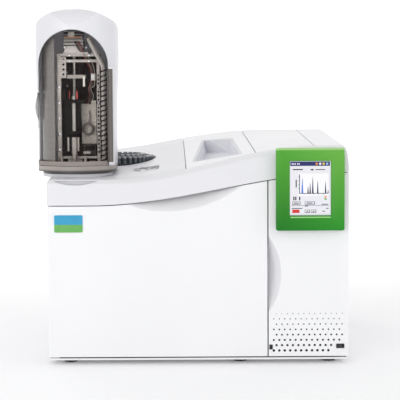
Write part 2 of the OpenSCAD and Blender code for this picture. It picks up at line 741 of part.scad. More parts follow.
// A hinged lid between two seams: ears at its rear corners turn on the hinge rod
module lid(x0, x1) difference() {
    union() {
        ys = concat(steps(lid_y, rear_y - 4, 5), [rear_y - seat_gap]);
        cover(lines_x(x0, x1, 5), ys,
            function (i, j, x, y) j == 6 ? lid_floor : under_rim(x, y));
        for (x = [x0 + skin, x1 - skin - ear_t]) let (at = leaned(x, lid_axis[0]))
            side([at - 1, at + ear_t + 1]) lid_ear(x);
    }
    rod_x([leaned(x0, body_d) - 1, x1 + 1], lid_axis[0], lid_axis[1], lid_pin_r + run_fit);
}

// Ear of a lid round the hinge rod, below the skin at grid line x
module lid_ear(x) polygon([[lid_axis[0] - 8, lid_axis[1] - 6], [lid_axis[0] + 7.5, lid_axis[1] - 6],
    [lid_axis[0] + 7.5, base_z(x, rear_y) - skin - 2],
    [lid_axis[0] - 30, base_z(x, rear_y - 40) - skin - 2],
    [lid_axis[0] - 30, base_z(x, rear_y - 40) - skin - 6]]);

recess = [[seam_a + 15, 118], [seam_b - 29, 63], [seam_b - 42, 450], [seam_a + 37, 512]];
recess_mid = [(recess[0][0] + recess[1][0]) / 2, 300];

// The recess's outline, drawn in by side at its sides and by front and back at its ends
function recess_in(side, front, back) = [for (p = recess)
    [p[0] + (p[0] < recess_mid[0] ? side : -side), p[1] + (p[1] < recess_mid[1] ? front : -back)]];

module detector_lid() color("white") difference() {
    lid(seam_a + panel_gap, seam_b - panel_gap / 2);
    linear_extrude(deep) polygon(recess);
}

module pneumatics_lid() color("white") lid(seam_b + panel_gap / 2, seam_c);

recess_d = 30;

// Grey tray sunk in the detector lid: sloped walls, and a flange under the lid's skin
module recess_tray() color("darkgray") difference() {
    intersection() {
        slab(steps(seam_a + 4, seam_b - 4, 5), steps(50, 530, 4), 1, recess_d + 3);
        linear_extrude(deep) polygon(recess_in(seat_gap, seat_gap, seat_gap));
    }
    low = [for (p = recess_in(12, 14, 18)) [p[0], p[1], deck_z(p[0], p[1]) - recess_d]];
    high = [for (p = recess_in(1, 1.5, 1.5)) [p[0], p[1], deck_z(p[0], p[1]) + 12]];
    polyhedron(points = concat(low, high), faces = concat(split(0, 1, 2, 3), split(7, 6, 5, 4),
        [for (k = [0:3]) let (l = (k + 1) % 4) each split(k, k + 4, l + 4, l)]));
}

// ---- carousel ----

module carousel_well() color("white") {
    ring(tray_c, [well_z, well_z + 2], tray_shaft_r + run_fit, well_r + well_t);
    ring(tray_c, [well_z + 2, tray_z - seat_gap], tray_shaft_r + run_fit, 14);
    for (a = [0:90:270]) rod(tray_c + 80 * [cos(a), sin(a)], [chassis_top, well_z], 6);
    intersection() {
        ring(tray_c, [well_z + 2 - eps, deep], well_r, well_r + well_t);
        slab(steps(tray_c[0] - well_r - 8, tray_c[0] + well_r + 8, 8),
            steps(tray_c[1] - well_r - 8, tray_c[1] + well_r + 8, 3), skin + 0.6, 0, well_z);
    }
}

function vial_ring(tier, count) = [for (i = [0:count - 1]) let (a = i * 360 / count)
    [ring_r[tier] * cos(a), ring_r[tier] * sin(a), tier]];
function vial_spots() = concat(vial_ring(0, outer_vials), vial_ring(1, inner_vials));

module carousel_tray() color("#303236") translate([tray_c[0], tray_c[1], 0]) difference() {
    union() {
        translate([0, 0, tray_z]) cylinder(h = tier_z[0] - tray_z, r = tray_r);
        translate([0, 0, tray_z]) cylinder(h = tier_z[1] - tray_z, r = ring_r[0] - vial_r - 2.5);
        translate([0, 0, chassis_top + 4]) cylinder(h = tray_z - chassis_top, r = tray_shaft_r);
        translate([0, 0, tray_z]) cylinder(h = tier_z[1] - tray_z + 10, r = 16);
    }
    for (v = vial_spots()) translate([v[0], v[1], tray_z + 3 + v[2] * 4])
        cylinder(h = vial_h, r = vial_r + 0.2);
    translate([0, 0, tier_z[1] - 12]) difference() {
        cylinder(h = 20, r = ring_r[1] - vial_r - 8);
        translate([0, 0, -1]) cylinder(h = 30, r = 20);
    }
}

// Glass vials with crimped caps
module vials() color("lightsteelblue") for (v = vial_spots())
    translate([tray_c[0] + v[0], tray_c[1] + v[1], tray_z + 3 + v[2] * 4]) {
        cylinder(h = vial_h - 9, r = vial_r);
        cylinder(h = vial_h - 4, r = vial_r - 1.6);
        translate([0, 0, vial_h - 6]) cylinder(h = 6, r = vial_r - 0.3);
    }

// ---- column front ----

module column_outline(inward) {
    xs = steps(column_x + inward, body_w - inward, 8);
    polygon(concat([[xs[0], panel_z + inward], [xs[8], panel_z + inward]],
        [for (i = [8:-1:0]) [xs[i], seam_z(xs[i]) - panel_gap - inward]]));
}

// Vent holes in staggered rows that grow towards the bottom
function vent_spots() = [for (row = [0:7]) let (wide = row % 2 == 0)
    for (i = [0:wide ? 13 : 12]) let (x = vent_x + i * vent_pitch - (wide ? vent_pitch / 2 : 0),
        z = vent_z + row * vent_row, r = vent_r_max + (vent_r_min - vent_r_max) * row / 7)
    if (!(x > switch_box[0] - 6 && z > switch_box[2] - 5 && z < switch_box[3] + 5)
        && x < body_w - 8 && x > column_x + 8) [x, z, r]];

module column_panel() color("white") difference() {
    union() {
        difference() {
            front([0, frame_y]) column_outline(0);
            front([skin, deep]) column_outline(skin);
        }
        block([column_x, column_x + grip_block[0]], [skin - eps, frame_y],
            [grip_z - grip_block[1], grip_z + grip_block[1]]);
    }
    translate([grip_x, -sqrt(grip_ball * grip_ball - grip_r * grip_r), grip_z]) sphere(grip_ball);
    for (v = vent_spots()) rod_y(v[0], [-1, skin + 1], v[1], v[2]);
    block([switch_box[0], switch_box[1]], [-1, skin + 1], [switch_box[2], switch_box[3]]);
    block([latch_box[0], latch_box[1]], [-1, 18], [latch_box[2], latch_box[3]]);
    block([bezel_x + 40, bezel_x + bezel_w - 40], [-1, skin + 1], [bezel_z + 25, bezel_z + 75]);
}

module air_filter() color("#202020") difference() {
    block([column_x + skin, body_w - skin], [skin, skin + 6], [panel_z + skin, vent_z + 8 * vent_row]);
    block([switch_box[0] - 4, deep], [0, deep], [0, switch_box[3] + 4]);
    block([0, latch_box[1] + 3], [0, deep], [0, latch_box[3] + 3]);
    block([0, column_x + grip_block[0] + 1], [0, deep], [grip_z - grip_block[1] - 1, deep]);
}

module power_switch_frame() color("#1c1c1c") difference() {
    block([switch_box[0] + 0.2, switch_box[1] - 0.2], [-1.2, 22], [switch_box[2] + 0.2, switch_box[3] - 0.2]);
    block([switch_box[0] + 2, switch_box[1] - 2], [-2, 16], [switch_box[2] + 1.5, switch_box[3] - 1.5]);
    rod(rocker_pin, [switch_box[2] + 0.7, switch_box[3] - 0.7], 1 + run_fit);
}

rocker_pin = [(switch_box[0] + switch_box[1]) / 2, 6];
rocker_tilt = 8;  // half of the rocker's travel

// Rocker with a shallow vee in its face, tipped to off, turning on an upright pin
module power_rocker() color("#2a2a2a") {
    linear_extrude_at(switch_box[2] + 1.8, switch_box[3] - 1.8) translate(rocker_pin)
        rotate(-rocker_tilt) polygon([[-5.6, -8.4], [0, -6.6], [5.6, -8.4], [5.2, -3], [2, 4], [-2, 4],
            [-5.2, -3]]);
    rod(rocker_pin, [switch_box[2] + 0.8, switch_box[3] - 0.8], 1);
}

module linear_extrude_at(z0, z1) translate([0, 0, z0]) linear_extrude(z1 - z0) children();

module door_latch() color("#303030") difference() {
    block([latch_box[0] + 0.2, latch_box[1] - 0.2], [-1, 16], [latch_box[2] + 0.2, latch_box[3] - 0.2]);
    block([latch_box[0] + 2, latch_box[1] - 2], [-2, 3], [latch_box[2] + 2, latch_box[3] - 2]);
}

// ---- display ----

module bezel_outline(inward, r) rounded([bezel_x + inward, bezel_x + bezel_w - inward],
    [bezel_z + inward, bezel_z + bezel_h - inward], r);

module screen_window(y, grow) block([screen_x - grow, screen_x + screen_w + grow], y,
    [screen_z - grow, screen_z + screen_h + grow]);

module display_bezel() color("limegreen") difference() {
    union() {
        front([-bezel_t + 3, -housing_t]) bezel_outline(0, 12);
        front([-bezel_t, -bezel_t + 3]) bezel_outline(3, 9);
    }
    screen_window([-deep, deep], 0);
    screen_window([glass_y, deep], 3);
    screen_window([glass_y + glass_t, deep], 12);
}

module touch_screen() color("lavender") screen_window([glass_y, glass_y + glass_t], 3 - seat_gap);

module display_module() color("whitesmoke") {
    screen_window([glass_y + glass_t, -housing_t], 12 - seat_gap);
    front([-housing_t, 0]) bezel_outline(4, 8);
}

// ---- column inside ----

module electronics() {
    color("seagreen") block([wall_x + 10, wall_x + 12], [90, 420], [50, 330]);
    color("silver") for (y = [100, 410], z = [60, 320]) rod_x([wall_x + 2, wall_x + 10], y, z, 4);
    color("silver") block([wall_x + 40, body_w - 30], [90, 300], [foot_h + sheet, 100]);
    color("#303030") for (y = [130, 230, 330], z = [150, 240])
        block([wall_x + 12, wall_x + 22], [y, y + 40], [z, z + 40]);
}

// Gas control block with a row of valves, under the pneumatics lid
module pneumatics_module() {
    color("silver") block([seam_b + 30, seam_c - 20], [110, 330], [chassis_top, chassis_top + 28]);
    color("#303030") for (i = [0:4]) rod([(seam_b + seam_c) / 2 + 5, 135 + i * 42],
        [chassis_top + 28, chassis_top + 50], 13);
}

module cooling_fan_housing() color("#303030") {
    x = fan_c[0];
    z = fan_c[1];
    difference() {
        block([x - fan_box / 2, x + fan_box / 2], [rear_y - 26, rear_y], [z - fan_box / 2, z + fan_box / 2]);
        rod_y(x, [rear_y - 20, rear_y + 1], z, cooling_fan_r + 1);
        for (a = [0:90:270]) rotate_about(x, z, a) rod_y(x + 24, [0, deep], z, 12);
    }
    rod_y(x, [rear_y - 20, rear_y - 6], z, 4);
    for (r = [12, 24, 36]) translate([x, rear_y + sheet + 1.2, z]) rotate([90, 0, 0])
        rotate_extrude() translate([r, 0]) circle(1.2);
    for (a = [45, 135]) rotate_about(x, z, a) block([x - fan_hole - 4, x + fan_hole + 4],
        [rear_y + sheet, rear_y + sheet + 1.5], [z - 1.2, z + 1.2]);
}

module rotate_about(x, z, a) translate([x, 0, z]) rotate([0, a, 0]) translate([-x, 0, -z]) children();

module cooling_fan() color("dimgray") translate([fan_c[0], rear_y - 18, fan_c[1]]) rotate([-90, 0, 0])
    difference() {
        union() {
            cylinder(h = 13, r = 16);
            for (a = [0:360 / 7:359]) rotate([0, 0, a]) translate([14, 0, 6.5]) rotate([35, 0, 0])
                translate([0, -0.9, -7]) cube([cooling_fan_r - 14.6, 1.8, 14]);
        }
        translate([0, 0, -1]) cylinder(h = 20, r = 4 + run_fit);
    }

module gas_fittings() color("goldenrod") for (x = gas_x) {
    rod_y(x, [rear_y - 14, rear_y + sheet + 6], gas_z, gland_r);
    rod_y(x, [rear_y + sheet, rear_y + sheet + 5], gas_z, 6.5, $fn = 6);
    rod_y(x, [rear_y + sheet, rear_y + sheet + 6 + tube_l], gas_z, tube_r);
}

module rear_connectors() color("#202020") {
    difference() {
        union() {
            block([inlet_box[0], inlet_box[1]], [rear_y + sheet, rear_y + sheet + 2], [inlet_box[2],
                inlet_box[3]]);
            block([inlet_box[0] + 5.3, inlet_box[1] - 5.3], [rear_y - 24, rear_y + sheet + eps],
                [inlet_box[2] + 4.3, inlet_box[3] - 4.3]);
        }
        block([inlet_box[0] + 8, inlet_box[1] - 18], [rear_y - 16, deep],
            [inlet_box[2] + 7, inlet_box[3] - 7]);
    }
    for (z = [ports_box[2] + 12, ports_box[2] + 44]) {
        block([ports_box[0] + 9, ports_box[1] - 9], [rear_y - 10, rear_y + sheet + 4], [z, z + 14]);
    }
    difference() {
        block([ports_box[0], ports_box[1]], [rear_y - 12, rear_y - eps], [ports_box[2], ports_box[3]]);
        block([ports_box[0] + 4, ports_box[1] - 4], [rear_y - 10, rear_y + 1],
            [ports_box[2] + 4, ports_box[3] - 4]);
    }
}

// ---- autosampler tower ----

// The fixed turntable base: flange, bearing neck and the apron behind the fascia's bow
module tower_base() color("gainsboro") {
    ring(turret, [turntable_z, turntable_z + turntable_t], bearing_r, turntable_r);
    ring(turret, [chassis_top, turntable_z + eps], bearing_r, bearing_r + 5);
    block([turret[0] - 52, turret[0] + 60], [notch_d + seat_gap, notch_d + 2],
        [chassis_top, shoulder_low - 5.5]);
    block([turret[0] - 20, turret[0]], [notch_d + 1, frame_y + 14], [chassis_top, chassis_top + 2]);
}

// Plan of the tower in from its outside by inward: a round front and a rounded square back
module tower_plan(inward) translate(turret) {
    r = turret_r - inward;
    circle(r, $fn = 128);
    translate([-r, 0]) square([2 * r, tower_rear - rear_corner]);
    translate([rear_corner - turret_r, 0]) square([2 * (turret_r - rear_corner), tower_rear - inward]);
    for (s = [-1, 1]) translate([s * (turret_r - rear_corner), tower_rear - rear_corner])
        circle(rear_corner - inward);
}

// Half of the tower's width at a height
function tower_side_at(z) = tower_half
    + (turret_r - tower_half) * smooth((z - flare_z[0]) / (flare_z[1] - flare_z[0]));

// Front outline of the tower: sides that flare to a wide dome between two rounded shoulders
function tower_front(inward) = let (cz = tower_top - dome_r, cx = turret_r - dome_corner,
        dz = sqrt(pow(dome_r - dome_corner, 2) - cx * cx), t = atan2(dz, cx), flare = steps(0, 1, 4),
        z0 = flare_z[0], rise = flare_z[1] - flare_z[0])
    concat([[turret[0] + tower_half - inward, tower_floor_z]],
        [for (f = flare) [turret[0] + tower_side_at(z0 + f * rise) - inward, z0 + f * rise]],
        [[turret[0] + turret_r - inward, cz + dz]],
        arc(turret[0] + cx, cz + dz, dome_corner - inward, 10, t, 5),
        arc(turret[0], cz, dome_r - inward, t + 4, 176 - t, 11),
        arc(turret[0] - cx, cz + dz, dome_corner - inward, 180 - t, 170, 5),
        [[turret[0] - turret_r + inward, cz + dz]],
        [for (f = flare) let (z = flare_z[1] - f * rise) [turret[0] - tower_side_at(z) + inward, z]],
        [[turret[0] - tower_half + inward, tower_floor_z]]);

// Side outline of the tower: a round brow at the front and a smaller round at the back
function tower_side(inward) = let (y0 = turret[1] - turret_r, y1 = turret[1] + tower_rear)
    concat([[y0 + inward, tower_floor_z]],
        arc(y0 + brow_r, tower_top - brow_r, brow_r - inward, 180, 90, 9),
        arc(y1 - dome_corner, tower_top - dome_corner, dome_corner - inward, 90, 0, 6),
        [[y1 - inward, tower_floor_z]]);

module tower_solid(inward) intersection() {
    linear_extrude_at(tower_floor_z, tower_top + 10) tower_plan(inward);
    front([0, 300]) polygon(tower_front(inward));
    side([-100, 300]) polygon(tower_side(inward));
}

// Front outline of the window's opening: an arch over straight sides, the left one of which
// ends at the wrap, below which the window goes round to the tower's side. The window itself
// is smaller by clear.
module window_outline(clear) {
    left = turret[0] - turret_r - 12;
    right = arch[0] + arch_r - clear;
    polygon(concat([[right, tower_floor_z + clear]], arc(arch[0], arch[1], arch_r - clear, 0, 180, 24),
        [[arch[0] - arch_r + clear, wrap_z - clear], [left, wrap_z - clear],
            [left, tower_floor_z + clear]]));
}

module window_opening(clear) front([0, turret[1] - clear]) window_outline(clear);

// Puts its children at an angle round the turning axis, 0 being straight ahead
module round_front(a) translate([turret[0], turret[1], 0]) rotate([0, 0, a]) children();

module tower_floor() color("gainsboro") {
    difference() {
        union() {
            linear_extrude_at(floor_plate_z, tower_floor_z) intersection() {
                tower_plan(0);
                translate([turret[0] - tower_half, 0]) square([2 * tower_half, 300]);
            }
            rod(turret, [floor_under, floor_plate_z + eps], turntable_r);
        }
        rod(turret, [0, deep], bearing_r - 4);
    }
    ring(turret, [turntable_z - 6, floor_under + eps], bearing_r - 4, bearing_r - run_fit);
}

module tower_shell() color("white") {
    difference() {
        tower_solid(0);
        translate([0, 0, -eps]) tower_solid(shell_t);
        window_opening(0);
    }
    round_front(hinge_turn) {
        for (z = [hinge_low, hinge_top - 4]) {
            translate([0, -turret_r - hinge_out, z]) cylinder(h = 4, r = barrel_r);
            block([0, 12], [-turret_r - hinge_out - 1, -turret_r - 1], [z, z + 4]);
            block([4, 12], [-turret_r - 1 - eps, -turret_r + 2], [z, z + 4]);
        }
        translate([0, -turret_r - hinge_out, hinge_low]) cylinder(h = hinge_top - hinge_low,
            r = window_pin_r);
    }
}

// Smoked window: a sheet flush with the shell, with a hinge barrel, its arm and a finger grip
// on its left side
module tower_window() color([0.35, 0.3, 0.28, 0.5]) {
    intersection() {
        difference() {
            tower_solid(0);
            translate([0, 0, -eps]) tower_solid(shell_t);
        }
        window_opening(window_gap);
    }
    round_front(hinge_turn) difference() {
        union() {
            translate([0, -turret_r - hinge_out, hinge_low + 4 + seat_gap])
                cylinder(h = hinge_top - hinge_low - 8 - 2 * seat_gap, r = barrel_r);
            block([-7.5, -2.5], [-turret_r - hinge_out + 1, -turret_r + 2], [hinge_low + 8, hinge_top - 8]);
        }
        translate([0, -turret_r - hinge_out, 0]) cylinder(h = deep, r = window_pin_r + run_fit);
    }
    side_x = turret[0] - tower_half;
    bow = (grip_l * grip_l / 4 + grip_out * grip_out) / (2 * grip_out);
    intersection() {
        block([side_x - grip_out, side_x + 1], [101, 113], [grip_mid - grip_l / 2, grip_mid + grip_l / 2]);
        rod_y(side_x - grip_out + bow, [100, 114], grip_mid, bow);
    }
}

// Curved metal liner behind the window's left part, with a return beside the frame
module tower_liner() color("silver") {
    r = tower_half - shell_t - 4;
    translate([turret[0], turret[1], tower_floor_z]) rotate([0, 0, -176]) rotate_extrude(angle = 54)
        translate([r - 1.5, 0]) square([1.5, 290]);
    round_front(-32) block([-1.5, 0], [-r + 1, -52], [tower_floor_z, tower_floor_z + 228]);
}

// Rails, back plate, cross bars, the slotted bracket and the lead screw's lower bearing
module sampler_frame() color("#8f8a86") difference() {
    across = [rail_l[0], rail_r[1]];
    bar_y = [rail_y + 2, rail_y + 6];
    union() {
        block(across, [plate_y, plate_y + 2], [tower_floor_z, motor_z - 3]);
        for (x = [rail_l, rail_r]) block(x, [rail_y, plate_y + eps], [tower_floor_z, motor_z - 3]);
        for (z = [665, 678]) block(across, [rail_y, rail_y + 4], [z, z + 6]);
        block([32, 88], [88, plate_y + 2], [motor_z - 3 - eps, motor_z]);
        block(across, bar_y, [450, 455]);
        block([rail_l[0] + 2, rail_l[1] + 12], [rail_y - 2, rail_y + eps], [630, 676]);
        block([screw[0] - 16, screw[0] + 16], [screw[1] - 9, plate_y + eps], [440, 452]);
        for (x = [26, 79]) {
            rod([x, 92], [tower_floor_z, 455], 3);
            block([x - 3, x + 3], [90, bar_y[0] + eps], [450, 455]);
        }
    }
    rod(screw, [0, 600], screw_r + run_fit);
    rod(screw, [600, deep], screw_r + 2);
    for (z = [638:11:671]) rod_y(32, [90, rail_y + 1], z, 2.6);
}

module lift_motor() color("#b9b4ae") difference() {
    union() {
        block([screw[0] - 20, screw[0] + 20], [screw[1] - 20, screw[1] + 20], [motor_z, motor_z + 36]);
        block([screw[0] - 22, screw[0] + 22], [screw[1] - 22, screw[1] + 22], [motor_z + 12, motor_z + 29]);
    }
    rod(screw, [0, motor_z + 24], screw_r + run_fit);
}

module lead_screw() color("silver") {
    rod(screw, [441, motor_z + 20], screw_r);
    rod(screw, [452 + seat_gap, 458], screw_r + 3);
}

// The lift carriage: nut, dark syringe holder, collar, legs and the tapered needle guide
module carriage() color("#2b2a2c") difference() {
    back_y = needle[1] + 7;
    top_z = holder_z[1] - 8;
    union() {
        block([screw[0] - 12, screw[0] + 12], [back_y + 8, screw[1] + 9], [545, 575]);
        block([37, 69], [back_y, back_y + 9], holder_z);
        block([39, 67], [needle[1] - 7, back_y + eps], [holder_z[0], holder_z[0] + 7]);
        block([37, guide[0] + 7], [needle[1] - 8, back_y + 9], [top_z, holder_z[1]]);
        rod(guide, [holder_z[1] - eps, 659], guide_r);
        for (x = [41.5, 64]) rod([x, needle[1]], [467, holder_z[0] + eps], 2.2);
        rod(needle, [464, holder_z[0] + eps], 5.5);
        translate([needle[0], needle[1], nozzle_z]) cylinder(h = 464 - nozzle_z + eps, r1 = 2.6, r2 = 5.5);
    }
    rod(screw, [0, 580], screw_r + run_fit);
    rod(needle, [0, holder_z[0]], 1);
    rod(needle, [holder_z[0] - 6, deep], barrel + 0.2);
}

module syringe() color("lightgray") difference() {
    union() {
        rod(needle, [holder_z[0] - 5, holder_z[1] + 8], barrel);
        rod(needle, [needle_z, holder_z[0]], 0.6);
    }
    rod(needle, [holder_z[0] + 10, deep], 1.5 + run_fit);
}

module plunger() color("gray") difference() {
    union() {
        rod(needle, [holder_z[0] + 52, plunger_z[1]], 1.5);
        block([41, guide[0] + 7], [needle[1] - 5, guide[1] + 6], plunger_z);
    }
    rod(guide, [0, deep], guide_r + run_fit);
}

// Driver board, connectors and the cable that runs down beside the right rail
module sampler_wiring() {
    cable = [121, 90];
    cable_top = 655;
    color("tan") block([68, 102], [plate_y - 1.6, plate_y], [531, 572]);
    color("tan") block([92, 102], [108, plate_y], [624, 640]);
    color("#2b2a2c") block([74, 102], [112, plate_y], [446, 480]);
    color("#5a5654") rod(cable, [tower_floor_z, cable_top], 5);
    color("#5a5654") hull() {
        translate([cable[0], cable[1], cable_top]) sphere(5, $fn = 24);
        translate([90, 82, 716]) sphere(5, $fn = 24);
    }
}

// ---- the assembly ----

framed() base_pan();
framed() feet();
framed() front_frame();
framed() chassis_deck();
framed() hinge_pins();
framed() side_panel_left();
framed() side_panel_right();
framed() rear_panel();
framed() oven_case();
framed() oven_insulation();
framed() oven_liner();
framed() heater_baffle();
framed() oven_fan_motor();
framed() column_cage();
framed() column_coil();
framed() injectors();
framed() detectors();
framed() top_fascia();
framed() left_deck_cover();
framed() right_deck_cover();
framed() deck_latch();
framed() carousel_well();
framed() tower_base();
framed() column_panel();
framed() air_filter();
framed() power_switch_frame();
framed() door_latch();
framed() display_bezel();
framed() touch_screen();
framed() display_module();
framed() electronics();
framed() pneumatics_module();
framed() cooling_fan_housing();
framed() gas_fittings();
framed() rear_connectors();
framed() oven_door();
framed() door_plug();
framed() door_gasket();
framed() badge_plate();
framed() detector_lid();
framed() recess_tray();
framed() pneumatics_lid();
framed() oven_fan();
framed() cooling_fan();
framed() exhaust_flap();
framed() power_rocker();
framed() carousel_tray();
framed() vials();
framed() tower_floor();
framed() tower_shell();
framed() tower_liner();
framed() tower_window();
framed() sampler_frame();
framed() lift_motor();
framed() lead_screw();
framed() carriage();
framed() syringe();
framed() plunger();
framed() sampler_wiring();
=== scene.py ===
"""The looks of the gas chromatograph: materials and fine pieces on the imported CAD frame."""
import json
import math

import bmesh
import bpy
from mathutils import Matrix, Vector

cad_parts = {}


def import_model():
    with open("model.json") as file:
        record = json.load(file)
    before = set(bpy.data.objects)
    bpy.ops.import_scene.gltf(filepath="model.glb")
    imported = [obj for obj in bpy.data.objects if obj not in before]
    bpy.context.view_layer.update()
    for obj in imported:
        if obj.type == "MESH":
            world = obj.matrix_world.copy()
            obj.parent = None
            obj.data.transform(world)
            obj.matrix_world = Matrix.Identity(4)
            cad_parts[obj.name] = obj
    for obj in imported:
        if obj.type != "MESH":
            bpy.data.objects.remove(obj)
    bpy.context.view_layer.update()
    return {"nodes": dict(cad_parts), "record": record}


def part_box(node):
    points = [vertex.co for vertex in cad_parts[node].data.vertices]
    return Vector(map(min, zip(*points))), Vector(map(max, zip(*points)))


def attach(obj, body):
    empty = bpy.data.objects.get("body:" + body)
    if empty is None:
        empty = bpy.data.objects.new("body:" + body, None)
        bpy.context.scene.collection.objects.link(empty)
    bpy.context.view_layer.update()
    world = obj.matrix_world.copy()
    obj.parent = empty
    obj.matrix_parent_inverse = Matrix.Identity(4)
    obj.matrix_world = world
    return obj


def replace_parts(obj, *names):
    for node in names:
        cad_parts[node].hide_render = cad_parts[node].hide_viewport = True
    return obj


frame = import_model()
nodes = frame["nodes"]

# Places are given in millimetres from the cabinet's left front corner, on the floor.
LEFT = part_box("rear_panel")[0].x
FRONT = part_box("oven_door")[0].y


def at(x, y, z):
    return Vector((LEFT + x / 1000, FRONT + y / 1000, z / 1000))


# ---- camera, light and floor ----

# The photo's viewpoint, found from the cabinet's edges.
EYE = at(336.6, -3148.8, 637.8)
PITCH = 4.75
ROLL = 0.3
LENS = 130.4
SHIFT = -0.0144
SENSOR = 36
WORLD_LIGHT = 0.785


def camera():
    data = bpy.data.cameras.new("camera")
    data.lens = LENS
    data.sensor_width = SENSOR
    data.shift_y = SHIFT
    data.clip_end = 50
    cam = bpy.data.objects.new("camera", data)
    cam.location = EYE
    cam.rotation_euler = (math.radians(90 - PITCH), math.radians(ROLL), 0)
    bpy.context.scene.collection.objects.link(cam)
    bpy.context.scene.camera = cam


def area_light(name, place, target, size, watts):
    data = bpy.data.lights.new(name, "AREA")
    data.shape = "RECTANGLE"
    data.size, data.size_y = size
    data.energy = watts
    lamp = bpy.data.objects.new(name, data)
    lamp.location = place
    lamp.rotation_euler = (Vector(target) - Vector(place)).to_track_quat("-Z", "Y").to_euler()
    lamp.visible_camera = False
    bpy.context.scene.collection.objects.link(lamp)
    return lamp


def world():
    w = bpy.data.worlds.new("studio")
    w.use_nodes = True
    ground = w.node_tree.nodes["Background"]
    ground.inputs["Color"].default_value = (1.0, 1.0, 1.0, 1)
    ground.inputs["Strength"].default_value = WORLD_LIGHT
    bpy.context.scene.world = w


camera()
world()
area_light("key", (-1.5, -3.0, 1.0), (0, 0, 0.25), (2.2, 1.4), 22)
area_light("fill", (2.4, -2.0, 1.6), (0, 0, 0.3), (1.6, 1.6), 10)
area_light("top", (0.2, 0.6, 3.0), (0, 0, 0.4), (2.4, 2.4), 2)
area_light("back", (-1.4, 2.4, 2.4), (0, 0, 0.1), (1.6, 1.2), 8)
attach(area_light("tower", at(56, 37, 580), at(62, 130, 575), (0.08, 0.24), 0.15), "tower")
bpy.context.scene.view_settings.view_transform = "Standard"


# ---- materials ----


def srgb(r, g, b):
    """The shader's linear values for a colour as a display shows it."""
    return tuple(((c / 255 + 0.055) / 1.055) ** 2.4 if c > 10 else c / 3294 for c in (r, g, b))


class Look:
    """A material on the Principled shader, in object coordinates."""

    def __init__(self, name, metal=0.0, alpha=1.0, coat=0.0, **sockets):
        self.m = bpy.data.materials.new(name)
        self.m.use_nodes = True
        self.tree = self.m.node_tree
        self.shader = self.tree.nodes["Principled BSDF"]
        self.set("Metallic", metal)
        self.set("Alpha", alpha)
        self.set("Coat Weight", coat)
        for k, v in sockets.items():
            self.set(k.replace("_", " "), v)
        self.where = self.tree.nodes.new("ShaderNodeTexCoord").outputs["Object"]

    def set(self, socket, value):
        self.shader.inputs[socket].default_value = value

    def link(self, a, b):
        self.tree.links.new(a, b)

    def node(self, kind, **values):
        n = self.tree.nodes.new(kind)
        for k, v in values.items():
            setattr(n, k, v)
        return n

    def noise(self, scale, stretch=(1, 1, 1), detail=4.0):
        place = self.node("ShaderNodeMapping")
        place.inputs["Scale"].default_value = stretch
        self.link(self.where, place.inputs["Vector"])
        n = self.node("ShaderNodeTexNoise")
        n.inputs["Scale"].default_value = scale
        n.inputs["Detail"].default_value = detail
        n.inputs["Roughness"].default_value = 0.6
        self.link(place.outputs[0], n.inputs["Vector"])
        return n.outputs["Fac"]

    def cells(self, scale):
        n = self.node("ShaderNodeTexVoronoi")
        n.inputs["Scale"].default_value = scale
        self.link(self.where, n.inputs["Vector"])
        return n.outputs["Distance"]

    def spread(self, value, low, high, start=0.3, end=0.7):
        """Maps start to end of a value onto low to high; noise stays mostly within the defaults."""
        n = self.node("ShaderNodeMapRange")
        for i, v in ((1, start), (2, end), (3, low), (4, high)):
            n.inputs[i].default_value = v
        self.link(value, n.inputs[0])
        return n.outputs[0]

    def mix(self, factor, a, b):
        n = self.node("ShaderNodeMix", data_type="RGBA")
        self.link(factor, n.inputs["Factor"])
        for socket, v in ((n.inputs[6], a), (n.inputs[7], b)):
            if isinstance(v, tuple):
                socket.default_value = (*v, 1)
            else:
                self.link(v, socket)
        return n.outputs[2]

    def axis(self, i):
        n = self.node("ShaderNodeSeparateXYZ")
        self.link(self.where, n.inputs[0])
        return n.outputs[i]

    def colour(self, a, b=None, scale=3.0, stretch=(1, 1, 1)):
        b = b or tuple(c * 0.95 for c in a)
        self.paint(self.mix(self.spread(self.noise(scale, stretch), 0, 1), b, a))

    def paint(self, output):
        self.link(output, self.shader.inputs["Base Color"])

    def rough(self, low, high, scale=6.0, stretch=(1, 1, 1)):
        shade = self.spread(self.noise(scale, stretch), low, high)
        self.link(shade, self.shader.inputs["Roughness"])

    def bump(self, height, strength, depth):
        n = self.node("ShaderNodeBump")
        n.inputs["Strength"].default_value = strength
        n.inputs["Distance"].default_value = depth
        self.link(height, n.inputs["Height"])
        self.link(n.outputs[0], self.shader.inputs["Normal"])

    def at_height(self, z, below, above, width=0.0004):
        """A factor that goes from one value to the other at a height in millimetres."""
        return self.spread(self.axis(2), below, above, z / 1000 - width, z / 1000 + width)

    def along(self, i, start, end, before=0, after=1):
        """A factor that changes between two places on an axis, in millimetres of the cabinet."""
        lo, hi = at(start, start, start)[i], at(end, end, end)[i]
        return self.spread(self.axis(i), before, after, lo, hi)

    def either(self, a, b):
        n = self.node("ShaderNodeMath", operation="MAXIMUM")
        self.link(a, n.inputs[0])
        self.link(b, n.inputs[1])
        return n.outputs[0]


def moulded(name, tint, low, high, grain=1400, depth=0.00006, coat=0.0, **sockets):
    k = Look(name, coat=coat, **sockets)
    k.colour(tint, tuple(c * 0.965 for c in tint), 2.5)
    k.rough(low, high, 9)
    k.bump(k.noise(grain, detail=2.0), 0.25, depth)
    return k.m


def brushed(name, tint, low, high, stretch, depth=0.00005):
    k = Look(name, metal=1.0)
    k.colour(tint, tuple(c * 0.82 for c in tint), 30, stretch)
    k.rough(low, high, 40, stretch)
    k.bump(k.noise(160, stretch), 0.3, depth)
    return k.m


def powder(name, tint):
    k = Look(name)
    k.colour(tint, tuple(c * 0.97 for c in tint), 1.8)
    k.rough(0.38, 0.52, 12)
    k.bump(k.noise(1100, detail=3.0), 0.35, 0.00009)
    return k.m


